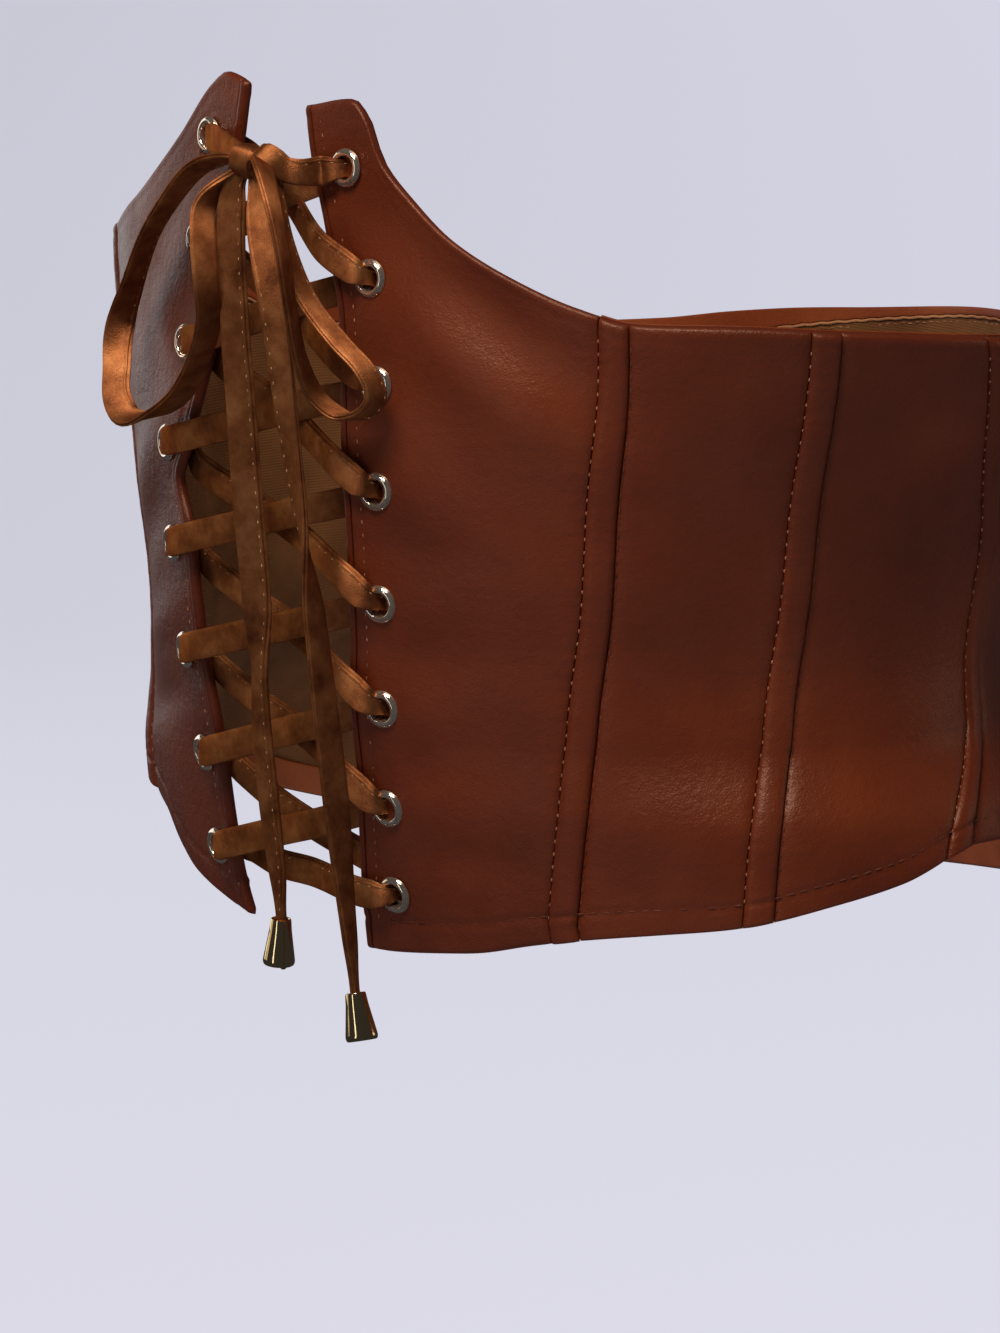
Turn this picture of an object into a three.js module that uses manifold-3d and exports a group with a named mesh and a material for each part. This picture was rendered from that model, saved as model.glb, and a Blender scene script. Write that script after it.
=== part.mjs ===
// Corset belt: a laced leather underbust belt, open at the front, as it is shaped when worn.
// Millimetres. The origin is the waist's centre, +Z is up, the front faces -Y and +X is the
// wearer's left. Turns are degrees round the body from the front, positive to the wearer's left.
import * as THREE from 'three';
import { mergeVertices } from 'three/addons/utils/BufferGeometryUtils.js';
import Module from 'manifold-3d';

// Driving sizes of the body
const FRONT_HEIGHT = 206;
const WAIST_HALF_WIDTH = 119;
const FRONT_DEPTH = 104;
const BACK_DEPTH = 87;
const OPENING_HALF_WIDTH = 30;

// Driving sizes of the walls
const LEATHER = 1.6;
const LINING = 0.8;
const FACING = 0.8;
const CLEARANCE = 0.3;
const FACING_CLEARANCE = 0.75;
const CHANNEL_WIDTH = 7.3;
const CHANNEL_RAISE = 0.7;
const FACING_HEIGHT = 8;
const EDGE_WIDTH = 2.4;
const EDGE_RAISE = 0.6;
const STITCH_GROOVE = 0.9;

// Driving sizes of the eyelets
const EYELET_HOLE_RADIUS = 2.85;
const EYELET_TUBE_WALL = 0.35;
const EYELET_FLANGE_RADIUS = 4.65;
const EYELET_WASHER_RADIUS = 4.2;
const EYELET_HEIGHT = 0.9;
const WASHER_HEIGHT = 0.6;
const EYELET_INSET = 11;
const EYELET_SIDES = 8;

// Driving sizes of the lace and what hangs on it
const LACE_WIDTH = 7.3;
const LACE_THICKNESS = 1.8;
const LACE_FOLDED_WIDTH = 3.6;
const LACE_FOLDED_THICKNESS = 1.4;
const KNOT_WIDTH = 15;
const KNOT_DEPTH = 7;
const KNOT_HEIGHT = 9;
const AGLET_LENGTH = 11.5;
const AGLET_TOP_RADIUS = 2.5;
const AGLET_MOUTH_RADIUS = 3.9;

// How finely the faceted solids are cut
const FRONT_ROWS = 14;
const SIDE_ROWS = 9;
const LOOP_STEPS = 22;
const TAIL_STEPS = 14;
const AGLET_SIDES = 10;
const KNOT_SIDES = 10;
const KNOT_RINGS = 6;

// The body's sections: rise is a share of FRONT_HEIGHT above the waist, width a share of
// WAIST_HALF_WIDTH, front of FRONT_DEPTH and back of BACK_DEPTH.
const BODY = [
  { rise: -0.34, width: 1.193, front: 0.846, back: 1.138 },
  { rise: -0.17, width: 1.143, front: 0.909, back: 1.092 },
  { rise: -0.058, width: 1.109, front: 0.952, back: 1.034 },
  { rise: 0.039, width: 1.017, front: 0.990, back: 1.000 },
  { rise: 0.121, width: 1.000, front: 1.010, back: 1.000 },
  { rise: 0.291, width: 1.042, front: 1.034, back: 1.034 },
  { rise: 0.534, width: 1.168, front: 1.010, back: 1.103 },
  { rise: 0.801, width: 1.235, front: 0.981, back: 1.149 },
];

// The top edge and the hem round the body: both are shares of FRONT_HEIGHT above the waist.
const OUTLINE = [
  { turn: -180, top: 0.439, hem: -0.243 },
  { turn: -150, top: 0.413, hem: -0.252 },
  { turn: -120, top: 0.425, hem: -0.243 },
  { turn: -96, top: 0.447, hem: -0.204 },
  { turn: -75, top: 0.520, hem: -0.136 },
  { turn: -57, top: 0.575, hem: -0.087 },
  { turn: -43, top: 0.590, hem: -0.097 },
  { turn: -30, top: 0.636, hem: -0.131 },
  { turn: -26, top: 0.652, hem: -0.165 },
  { turn: -22, top: 0.675, hem: -0.192 },
  { turn: -16, top: 0.721, hem: -0.211 },
  { turn: -9.5, top: 0.782, hem: -0.226 },
  { turn: -7.5, top: 0.791, hem: -0.228 },
  { turn: -3, top: 0.779, hem: -0.228 },
  { turn: 3, top: 0.760, hem: -0.231 },
  { turn: 11, top: 0.774, hem: -0.231 },
  { turn: 13, top: 0.755, hem: -0.230 },
  { turn: 15, top: 0.709, hem: -0.228 },
  { turn: 19, top: 0.665, hem: -0.223 },
  { turn: 24, top: 0.621, hem: -0.216 },
  { turn: 31, top: 0.583, hem: -0.199 },
  { turn: 39, top: 0.551, hem: -0.184 },
  { turn: 46, top: 0.534, hem: -0.175 },
  { turn: 57, top: 0.532, hem: -0.163 },
  { turn: 70, top: 0.524, hem: -0.138 },
  { turn: 80, top: 0.517, hem: -0.119 },
  { turn: 95, top: 0.505, hem: -0.085 },
  { turn: 108, top: 0.495, hem: -0.092 },
  { turn: 130, top: 0.483, hem: -0.165 },
  { turn: 155, top: 0.468, hem: -0.214 },
  { turn: 180, top: 0.439, hem: -0.243 },
];

// The seams' turns at some heights: the front, side, rear and back seam of each side.
const SEAMS = [
  { rise: -0.17, front: 37.7, side: 61.5, rear: 90.5, back: 140 },
  { rise: -0.058, front: 41.0, side: 65.0, rear: 96.0, back: 142 },
  { rise: 0.049, front: 44.5, side: 68.0, rear: 104.0, back: 144 },
  { rise: 0.218, front: 47.2, side: 71.0, rear: 105.0, back: 144 },
  { rise: 0.388, front: 46.9, side: 71.0, rear: 100.0, back: 142 },
  { rise: 0.534, front: 45.0, side: 70.0, rear: 96.0, back: 140 },
];

// The free front edges, which the lace pulls out of line: distances from the middle as shares
// of OPENING_HALF_WIDTH.
const FRONT_EDGES = [
  { rise: -0.228, left: 0.713, right: 0.783 },
  { rise: -0.170, left: 0.743, right: 0.867 },
  { rise: -0.097, left: 0.810, right: 0.880 },
  { rise: 0.000, left: 0.900, right: 0.860 },
  { rise: 0.097, left: 0.933, right: 0.983 },
  { rise: 0.184, left: 0.987, right: 1.017 },
  { rise: 0.243, left: 1.000, right: 1.050 },
  { rise: 0.301, left: 0.990, right: 1.230 },
  { rise: 0.340, left: 0.967, right: 1.070 },
  { rise: 0.398, left: 0.937, right: 0.880 },
  { rise: 0.461, left: 0.917, right: 0.710 },
  { rise: 0.534, left: 0.867, right: 0.613 },
  { rise: 0.578, left: 0.790, right: 0.550 },
  { rise: 0.626, left: 0.690, right: 0.493 },
  { rise: 0.704, left: 0.500, right: 0.400 },
  { rise: 0.777, left: 0.390, right: 0.323 },
];

// The eyelets from the top: heights as shares of FRONT_HEIGHT, insets as shares of EYELET_INSET.
const EYELETS = [
  { left: 0.695, right: 0.714, leftInset: 1.10, rightInset: 1.20 },
  { left: 0.571, right: 0.590, leftInset: 1.12, rightInset: 1.16 },
  { left: 0.449, right: 0.466, leftInset: 1.05, rightInset: 1.12 },
  { left: 0.326, right: 0.341, leftInset: 0.95, rightInset: 1.05 },
  { left: 0.194, right: 0.220, leftInset: 0.88, rightInset: 1.03 },
  { left: 0.069, right: 0.092, leftInset: 0.91, rightInset: 0.93 },
  { left: -0.051, right: -0.031, leftInset: 0.91, rightInset: 0.82 },
  { left: -0.157, right: -0.147, leftInset: 1.04, rightInset: 0.80 },
];

// The knot, and the routes of the bow and the tails that hang from it. Roll 0 shows the lace's
// flat side to the front and roll 90 shows its thin side.
const KNOT = { x: 6.5, y: -112.5, z: 145 };
const LACING_STARTS = {
  left: [{ x: 14.4, y: -111, z: 145.5 }, { x: 17.5, y: -109.5, z: 143 }],
  right: [{ x: -1.5, y: -111, z: 145.8 }, { x: -9, y: -109, z: 146.8 }],
};
const BOW_RIGHT = [
  { x: -1.4, y: -114.5, z: 146.5, roll: 70 },
  { x: -14, y: -113.5, z: 143.5, roll: 75 },
  { x: -27, y: -111, z: 136, roll: 84 },
  { x: -42, y: -108, z: 125.5, roll: 91 },
  { x: -55.5, y: -104.5, z: 109, roll: 98 },
  { x: -66.5, y: -99.5, z: 93, roll: 97 },
  { x: -73, y: -96.5, z: 82.5, roll: 97 },
  { x: -69, y: -98.5, z: 76, roll: 95 },
  { x: -54, y: -104.5, z: 75, roll: 74 },
  { x: -36, y: -110.5, z: 79, roll: 88 },
  { x: -19, y: -114, z: 86.5, roll: 80 },
  { x: -7.5, y: -117, z: 97.5, roll: 87 },
  { x: -3.5, y: -118.5, z: 110, roll: 92 },
  { x: -4, y: -118.5, z: 122, roll: 90 },
  { x: -3.5, y: -117, z: 132, roll: 83 },
  { x: -1, y: -115.5, z: 140.5, roll: 75 },
];
const BOW_LEFT = [
  { x: 14.6, y: -114.5, z: 145, roll: 100 },
  { x: 18, y: -115.5, z: 138, roll: 104 },
  { x: 22, y: -115.5, z: 126, roll: 104 },
  { x: 28, y: -113.5, z: 113, roll: 102 },
  { x: 37, y: -111, z: 103.5, roll: 95 },
  { x: 44.5, y: -109, z: 97, roll: 97 },
  { x: 47, y: -108, z: 91, roll: 104 },
  { x: 44, y: -109, z: 87, roll: 80 },
  { x: 38.5, y: -111.5, z: 86, roll: 90 },
  { x: 33, y: -115, z: 90.5, roll: 68 },
  { x: 31.5, y: -118.5, z: 99, roll: 56 },
  { x: 31.5, y: -121.5, z: 112, roll: 55 },
  { x: 29.5, y: -122.5, z: 126, roll: 58 },
  { x: 24, y: -121.5, z: 138, roll: 62 },
  { x: 14.5, y: -118.5, z: 147, roll: 65 },
];
const TAIL_RIGHT = [
  { x: 2, y: -114.5, z: 139.5, roll: 25 },
  { x: 2.2, y: -116, z: 130, roll: 25 },
  { x: 4.7, y: -117, z: 104, roll: 30 },
  { x: 6.7, y: -117, z: 87, roll: 35 },
  { x: 9.2, y: -117, z: 63, roll: 45 },
  { x: 11.2, y: -116, z: 39, roll: 35 },
  { x: 11.2, y: -115.3, z: 24, roll: -15 },
  { x: 10.7, y: -114.5, z: 12, roll: -10 },
  { x: 12.2, y: -113.5, z: -10, roll: -2 },
  { x: 14.5, y: -112.5, z: -31, roll: -12 },
  { x: 15, y: -112, z: -40, roll: -15 },
];
const TAIL_LEFT = [
  { x: 8.5, y: -113.5, z: 139.8, roll: 10 },
  { x: 15, y: -117.5, z: 128, roll: 20 },
  { x: 22, y: -118.5, z: 112, roll: 24 },
  { x: 27.3, y: -118.5, z: 82, roll: 3 },
  { x: 31.2, y: -118, z: 60, roll: -22 },
  { x: 34, y: -117, z: 41, roll: -75 },
  { x: 37, y: -116, z: 18, roll: -87 },
  { x: 40, y: -115, z: -6, roll: -93 },
  { x: 42.2, y: -114, z: -29, roll: -67 },
  { x: 44, y: -113.5, z: -44, roll: -55 },
  { x: 45, y: -113.5, z: -51, roll: -55 },
];
const AGLET_RIGHT_LEAN = { x: -1, z: -11 };
const AGLET_LEFT_LEAN = { x: 2.6, z: -11 };

const wasm = await Module();
wasm.setup();

const leather = { color: 0x5f2a19, roughness: 0.42, metalness: 0 };
const leatherEdge = { color: 0x6a2c1b, roughness: 0.4, metalness: 0 };
const lining = { color: 0x5c4128, roughness: 0.8, metalness: 0 };
const facing = { color: 0x7a3d22, roughness: 0.5, metalness: 0 };
const satin = { color: 0x7a4a2c, roughness: 0.5, metalness: 0 };
const nickel = { color: 0xd9cfc4, roughness: 0.2, metalness: 1 };
const paleGold = { color: 0xc8b07e, roughness: 0.25, metalness: 1 };

const radians = THREE.MathUtils.degToRad;
const group = new THREE.Group();

function add(name, geometry, look) {
  geometry.computeVertexNormals();
  const mesh = new THREE.Mesh(geometry, new THREE.MeshStandardMaterial(look));
  mesh.name = name;
  group.add(mesh);
  return mesh;
}

// A smooth curve through a table's rows that never swings past them
function follow(rows, key, at, column) {
  const last = rows.length - 1;
  if (at <= rows[0][key]) return rows[0][column];
  if (at >= rows[last][key]) return rows[last][column];
  let i = 0;
  while (at > rows[i + 1][key]) i += 1;
  const step = (j) => rows[j + 1][key] - rows[j][key];
  const slope = (j) => (rows[j + 1][column] - rows[j][column]) / step(j);
  const tangent = (j) => {
    if (j === 0) return slope(0);
    if (j === last) return slope(last - 1);
    const [before, after] = [slope(j - 1), slope(j)];
    if (before * after <= 0) return 0;
    return (2 * before * after) / (before + after);
  };
  const width = step(i);
  const t = (at - rows[i][key]) / width;
  const start = (1 + 2 * t) * (1 - t) ** 2 * rows[i][column];
  const end = t * t * (3 - 2 * t) * rows[i + 1][column];
  const leave = t * (1 - t) ** 2 * width * tangent(i);
  const arrive = t * t * (t - 1) * width * tangent(i + 1);
  return start + end + leave + arrive;
}

const bodySize = (z, column, size) => size * follow(BODY, 'rise', z / FRONT_HEIGHT, column);
const wrapped = (turn) => THREE.MathUtils.euclideanModulo(turn + 180, 360) - 180;
const topAt = (turn) => FRONT_HEIGHT * follow(OUTLINE, 'turn', wrapped(turn), 'top');
const hemAt = (turn) => FRONT_HEIGHT * follow(OUTLINE, 'turn', wrapped(turn), 'hem');

// A point on the leather's outer face
function skin(turn, z) {
  const angle = radians(turn);
  const depthColumn = Math.cos(angle) > 0 ? 'front' : 'back';
  const depthSize = Math.cos(angle) > 0 ? FRONT_DEPTH : BACK_DEPTH;
  const x = bodySize(z, 'width', WAIST_HALF_WIDTH) * Math.sin(angle);
  const y = -bodySize(z, depthColumn, depthSize) * Math.cos(angle);
  return new THREE.Vector3(x, y, z);
}

function skinFrame(turn, z) {
  const small = 0.05;
  const around = skin(turn + small, z).sub(skin(turn - small, z));
  const upward = skin(turn, z + small).sub(skin(turn, z - small));
  const perTurn = around.length() / (2 * small);
  const normal = new THREE.Vector3().crossVectors(around, upward).normalize();
  return { point: skin(turn, z), normal, perTurn, around: around.normalize() };
}

// A point that lies out from the skin by a distance
function off(turn, z, out) {
  const frame = skinFrame(turn, z);
  return frame.point.addScaledVector(frame.normal, out);
}

const sideOf = (name) => (name === 'left' ? 1 : -1);

// The turn of a line on one side of the body, at a height, moved to the rear by a distance
function edgeTurn(side, z, moved) {
  const half = OPENING_HALF_WIDTH * follow(FRONT_EDGES, 'rise', z / FRONT_HEIGHT, side);
  const turn = THREE.MathUtils.radToDeg(Math.asin(half / bodySize(z, 'width', WAIST_HALF_WIDTH)));
  return sideOf(side) * (turn + moved / skinFrame(turn, z).perTurn);
}

function seamTurn(side, seam, z, moved) {
  const turn = follow(SEAMS, 'rise', z / FRONT_HEIGHT, seam);
  return sideOf(side) * (turn + moved / skinFrame(turn, z).perTurn);
}

// The height at which a rising line of turns meets the top edge or the hem
function meet(lineTurn, limitAt) {
  let low = -0.5 * FRONT_HEIGHT;
  let high = FRONT_HEIGHT;
  for (let pass = 0; pass < 40; pass += 1) {
    const middle = (low + high) / 2;
    if (limitAt(lineTurn(middle)) > middle) low = middle;
    else high = middle;
  }
  return (low + high) / 2;
}

// Lines at shares of the way between two lines
function spread(from, to, shares) {
  return shares.map((share) => (z) => THREE.MathUtils.lerp(from(z), to(z), share));
}

const even = (count) => Array.from({ length: count + 1 }, (_, i) => i / count);

// Cuts a wall's inner face into triangles along the same diagonals as its outer face, so that
// layers on the same lines stay parallel
function matchDiagonals(geometry) {
  const { index } = geometry;
  const innerFace = geometry.groups[5];
  for (let i = innerFace.start; i < innerFace.start + innerFace.count; i += 6) {
    const [a, b, d, , c] = [0, 1, 2, 3, 4].map((n) => index.getX(i + n));
    [a, b, c, a, c, d].forEach((corner, n) => index.setX(i + n, corner));
  }
}

// A wall piece on lines that run from the hem to the top edge, in the order of rising turns. Its
// outer and inner faces lie at distances out from the skin, which may change across the piece. A
// band keeps only FACING_HEIGHT of the wall, along its top edge or its hem.
function wall({ lines, outer, inner, rows, band = null }) {
  const count = lines.length - 1;
  const geometry = new THREE.BoxGeometry(1, 1, 1, count, band ? 1 : rows, 1);
  const ends = lines.map((line) => ({ hem: meet(line, hemAt), top: meet(line, topAt) }));
  const distance = (face, share) => (typeof face === 'function' ? face(share) : face);
  const onWall = (i, v, face) => {
    const z = THREE.MathUtils.lerp(ends[i].hem, ends[i].top, v);
    return off(lines[i](z), z, distance(face, i / count));
  };
  const position = geometry.attributes.position;
  for (let n = 0; n < position.count; n += 1) {
    const i = Math.round((position.getX(n) + 0.5) * count);
    const v = position.getY(n) + 0.5;
    const face = position.getZ(n) > 0 ? outer : inner;
    let place = onWall(i, v, face);
    const rim = band === 'top' ? 1 : 0;
    if (band && v !== rim) {
      const next = onWall(i, Math.abs(rim - 1 / rows), face);
      place = onWall(i, rim, face);
      place.lerp(next, FACING_HEIGHT / place.distanceTo(next));
    }
    position.setXYZ(n, place.x, place.y, place.z);
  }
  matchDiagonals(geometry);
  return geometry;
}

// The wearer's right side lists its lines from the rear, so that their turns rise
const inOrder = (side, lines) => (side === 'left' ? lines : [...lines].reverse());

const liningOuter = -LEATHER - CLEARANCE;
const liningInner = liningOuter - LINING;
const facingOuter = liningInner - FACING_CLEARANCE;
const facingInner = facingOuter - FACING;
const seamHalf = CLEARANCE / 2;

// Eyelets

function eyeletFrame(side, row) {
  const z = FRONT_HEIGHT * row[side];
  const turn = edgeTurn(side, z, EYELET_INSET * row[`${side}Inset`]);
  return { turn, z, ...skinFrame(turn, z) };
}

const flangeFoot = CLEARANCE;
const flangeTop = flangeFoot + EYELET_HEIGHT;
const washerTop = liningInner - CLEARANCE;
const washerFoot = washerTop - WASHER_HEIGHT;
const tubeRadius = EYELET_HOLE_RADIUS + EYELET_TUBE_WALL;

function placeAlong(mesh, frame) {
  mesh.position.copy(frame.point);
  mesh.quaternion.setFromUnitVectors(new THREE.Vector3(0, 1, 0), frame.normal);
  return mesh;
}

function addEyelet(name, frame) {
  const crown = (EYELET_HOLE_RADIUS + EYELET_FLANGE_RADIUS) / 2;
  const profile = [
    new THREE.Vector2(EYELET_HOLE_RADIUS, washerFoot),
    new THREE.Vector2(EYELET_WASHER_RADIUS, washerFoot),
    new THREE.Vector2(tubeRadius, washerTop),
    new THREE.Vector2(tubeRadius, flangeFoot),
    new THREE.Vector2(EYELET_FLANGE_RADIUS, flangeFoot),
    new THREE.Vector2(crown, flangeTop),
    new THREE.Vector2(EYELET_HOLE_RADIUS, flangeTop - CLEARANCE),
    new THREE.Vector2(EYELET_HOLE_RADIUS, washerFoot),
  ];
  placeAlong(add(name, new THREE.LatheGeometry(profile, EYELET_SIDES), nickel), frame);
}

function toSolid(geometry) {
  const bare = geometry.clone();
  bare.deleteAttribute('normal');
  bare.deleteAttribute('uv');
  const merged = mergeVertices(bare);
  return new wasm.Manifold(new wasm.Mesh({
    numProp: 3,
    vertProperties: new Float32Array(merged.attributes.position.array),
    triVerts: new Uint32Array(merged.index.array),
  }));
}

function toGeometry(solid) {
  const mesh = solid.getMesh();
  const geometry = new THREE.BufferGeometry();
  geometry.setAttribute('position', new THREE.BufferAttribute(mesh.vertProperties, 3));
  geometry.setIndex(new THREE.BufferAttribute(mesh.triVerts, 1));
  return geometry;
}

function withEyeletHoles(geometry, frames) {
  const drillRadius = (tubeRadius + CLEARANCE) / Math.cos(Math.PI / EYELET_SIDES);
  const drillLength = 4 * (LEATHER + LINING);
  let solid = toSolid(geometry);
  for (const frame of frames) {
    const drill = new THREE.CylinderGeometry(drillRadius, drillRadius, drillLength, EYELET_SIDES);
    const mesh = placeAlong(new THREE.Mesh(drill), frame);
    mesh.updateMatrix();
    drill.applyMatrix4(mesh.matrix);
    solid = solid.subtract(toSolid(drill));
  }
  return toGeometry(solid);
}

// Panels, bone channels and front edges of one side

const FRONT_SHARES = [0, 0.06, 0.11, 0.17, 0.26, 0.4, 0.6, 0.8, 1];
const EDGE_SHARES = [0, 0.5, 1];
const PANELS = [
  { name: 'side_front_panel', start: 'front', end: 'side', columns: 3 },
  { name: 'side_panel', start: 'side', end: 'rear', columns: 4 },
  { name: 'side_rear_panel', start: 'rear', end: 'back', columns: 4 },
];
const CHANNELS = ['front', 'side', 'rear', 'back'];
const BACK_COLUMNS = 8;

const seamLine = (side, seam, moved) => (z) => seamTurn(side, seam, z, moved);

function addSide(side, frames) {
  const edgeLine = (moved) => (z) => edgeTurn(side, z, moved);
  const foldEnd = edgeLine(EDGE_WIDTH);
  const panelStart = edgeLine(EDGE_WIDTH + CLEARANCE);
  const panelEnd = seamLine(side, 'front', -CHANNEL_WIDTH - STITCH_GROOVE);

  // The front panel is doubled with its own facing, which backs the eyelets
  const frontPanel = wall({
    lines: inOrder(side, spread(panelStart, panelEnd, FRONT_SHARES)),
    outer: 0,
    inner: liningInner,
    rows: FRONT_ROWS,
  });
  add(`front_panel_${side}`, withEyeletHoles(frontPanel, frames), leather);

  // The folded front edge is thickest along its middle
  const middle = liningInner / 2;
  const rounded = (share) => (Math.abs(share - 0.5) < 0.1 ? 1 : 0.6) * (EDGE_RAISE - middle);
  add(`front_edge_${side}`, wall({
    lines: inOrder(side, spread(edgeLine(0), foldEnd, EDGE_SHARES)),
    outer: (share) => middle + rounded(share),
    inner: (share) => middle - rounded(share),
    rows: FRONT_ROWS,
  }), leatherEdge);

  for (const { name, start, end, columns } of PANELS) {
    const from = seamLine(side, start, seamHalf);
    const to = seamLine(side, end, -CHANNEL_WIDTH - seamHalf);
    add(`${name}_${side}`, wall({
      lines: inOrder(side, spread(from, to, even(columns))),
      outer: 0,
      inner: -LEATHER,
      rows: SIDE_ROWS,
    }), leather);
  }

  for (const name of CHANNELS) {
    const from = seamLine(side, name, seamHalf - CHANNEL_WIDTH);
    const to = seamLine(side, name, -seamHalf);
    add(`${name}_channel_${side}`, wall({
      lines: inOrder(side, [from, to]),
      outer: CHANNEL_RAISE,
      inner: -LEATHER,
      rows: SIDE_ROWS,
    }), leather);
  }
}

// Pieces that run round the back as one

function liningLines(side) {
  const lines = [seamLine(side, 'front', seamHalf - CHANNEL_WIDTH)];
  for (const { start, end, columns } of PANELS) {
    const from = seamLine(side, start, 0);
    lines.push(...spread(from, seamLine(side, end, -CHANNEL_WIDTH), even(columns)));
  }
  return inOrder(side, lines);
}

function addBack() {
  const pastBack = (line) => (z) => 360 + line(z);
  const across = (moved) => spread(
    seamLine('left', 'back', moved),
    pastBack(seamLine('right', 'back', moved)),
    even(BACK_COLUMNS),
  );
  add('back_panel', wall({
    lines: across(seamHalf),
    outer: 0,
    inner: -LEATHER,
    rows: SIDE_ROWS,
  }), leather);

  const round = [...liningLines('left'), ...across(0), ...liningLines('right').map(pastBack)];
  add('lining', wall({
    lines: round,
    outer: liningOuter,
    inner: liningInner,
    rows: SIDE_ROWS,
  }), lining);
  for (const band of ['top', 'hem']) {
    add(`${band}_facing`, wall({
      lines: round,
      outer: facingOuter,
      inner: facingInner,
      rows: SIDE_ROWS,
      band,
    }), facing);
  }
}

// Laces

// A lace's route is its own row of sections: where it passes, the line across its flat side,
// and its width and thickness there. A sharp turn keeps at least SHARPEST_TURN of its thickness.
const SHARPEST_TURN = 0.6;

class LaceRoute extends THREE.Curve {
  constructor(sections) {
    super();
    this.sections = sections;
  }

  getPoint(t) {
    const place = t * (this.sections.length - 1);
    const i = Math.min(Math.floor(place), this.sections.length - 2);
    return this.sections[i].at.clone().lerp(this.sections[i + 1].at, place - i);
  }

  getSpacedPoints() {
    return this.sections.map((section) => section.at.clone());
  }

  computeFrenetFrames() {
    const frames = { tangents: [], normals: [], binormals: [] };
    const last = this.sections.length - 1;
    this.sections.forEach((section, i) => {
      const before = this.sections[Math.max(i - 1, 0)].at;
      const after = this.sections[Math.min(i + 1, last)].at;
      const arriving = section.at.clone().sub(before).normalize();
      const leaving = after.clone().sub(section.at).normalize();
      const tangent = arriving.clone().add(leaving).normalize();
      const half = i === 0 || i === last ? 1 : Math.max(arriving.dot(tangent), SHARPEST_TURN);
      const across = section.across.clone();
      across.addScaledVector(tangent, -across.dot(tangent)).normalize();
      const normal = new THREE.Vector3().crossVectors(across, tangent);
      frames.tangents.push(tangent);
      frames.normals.push(normal.multiplyScalar(section.thickness / half));
      frames.binormals.push(across.multiplyScalar(section.width));
    });
    return frames;
  }
}

// The lace's section, one wide and one thick: flat, with rounded borders
const FLAT_HALF = 0.36;
const ROUND_BORDER = [[0.5, -FLAT_HALF], [0.5, FLAT_HALF], [0.3, 0.5], [-0.3, 0.5],
  [-0.5, FLAT_HALF], [-0.5, -FLAT_HALF], [-0.3, -0.5], [0.3, -0.5]];
const POINTED_BORDER = [[0.5, -FLAT_HALF], [0.5, FLAT_HALF], [0, 0.5],
  [-0.5, FLAT_HALF], [-0.5, -FLAT_HALF], [0, -0.5]];

function addLace(name, sections, border) {
  const corners = border.map(([x, y]) => new THREE.Vector2(x, y));
  const geometry = new THREE.ExtrudeGeometry(new THREE.Shape(corners), {
    steps: sections.length - 1,
    extrudePath: new LaceRoute(sections),
  });
  add(name, geometry, satin);
}

const FORWARD = new THREE.Vector3(0, -1, 0);
const UP = new THREE.Vector3(0, 0, 1);
const FOLDED = LACE_FOLDED_WIDTH / LACE_WIDTH;
const FOLDED_THICKNESS = LACE_FOLDED_THICKNESS / LACE_THICKNESS;

function section(at, across = UP, widthShare = 1, thicknessShare = 1) {
  return {
    at,
    across: across.clone(),
    width: LACE_WIDTH * widthShare,
    thickness: LACE_THICKNESS * thicknessShare,
  };
}

// The lacing goes into each eyelet from outside and crosses the opening behind the panel's edge
const laceHalf = LACE_THICKNESS / 2;
const overFlange = flangeTop + CLEARANCE + laceHalf;
const underWasher = washerFoot - CLEARANCE - laceHalf;
const overEdge = EDGE_RAISE + 2 * CLEARANCE + laceHalf;
const underEdge = liningInner - EDGE_RAISE - 2 * CLEARANCE - laceHalf;
const besideEyelet = EYELET_FLANGE_RADIUS + 1;

// How far out of the opening's flat plane the laces lie where they cross
const CROSSING_HALF = 11;
const layer = LACE_THICKNESS + CLEARANCE;
const crossFront = 0.6;
const crossMiddle = crossFront - layer;
const crossBehind = crossMiddle - layer;

// A section beside an eyelet, on the line to where the lace comes from or goes
function beside(frame, toward, out) {
  const line = toward.clone().sub(frame.point);
  line.addScaledVector(frame.normal, -line.dot(frame.normal)).normalize();
  const at = frame.point.clone().addScaledVector(line, besideEyelet);
  return section(at.addScaledVector(frame.normal, out));
}

function inHole(frame, out) {
  const at = frame.point.clone().addScaledVector(frame.normal, out);
  return section(at, UP, FOLDED, FOLDED_THICKNESS);
}

const edgePoint = (side, z, out) => off(edgeTurn(side, z, 0), z, out);
const openingFront = (z) => (edgePoint('left', z, 0).y + edgePoint('right', z, 0).y) / 2;

// The stretch across the opening: under the edge it leaves, and over or under the next one. It
// passes the two edges at these shares of the climb between its eyelets.
const LEAVE_SHARE = 0.15;
const ARRIVE_SHARE = 0.85;

function crossing(start, startSide, end, endSide, out, endOut = overEdge) {
  const leaveZ = THREE.MathUtils.lerp(start.z, end.z, LEAVE_SHARE);
  const arriveZ = THREE.MathUtils.lerp(start.z, end.z, ARRIVE_SHARE);
  const leave = edgePoint(startSide, leaveZ, underEdge);
  const arrive = edgePoint(endSide, arriveZ, endOut);
  const inOpening = (x) => {
    const z = THREE.MathUtils.mapLinear(x, leave.x, arrive.x, leave.z, arrive.z);
    return section(new THREE.Vector3(x, openingFront(z) - out, z));
  };
  const ahead = Math.sign(arrive.x - leave.x) * CROSSING_HALF;
  return [section(leave), inOpening(-ahead), inOpening(ahead), section(arrive)];
}

const otherSide = (side) => (side === 'left' ? 'right' : 'left');

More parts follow.
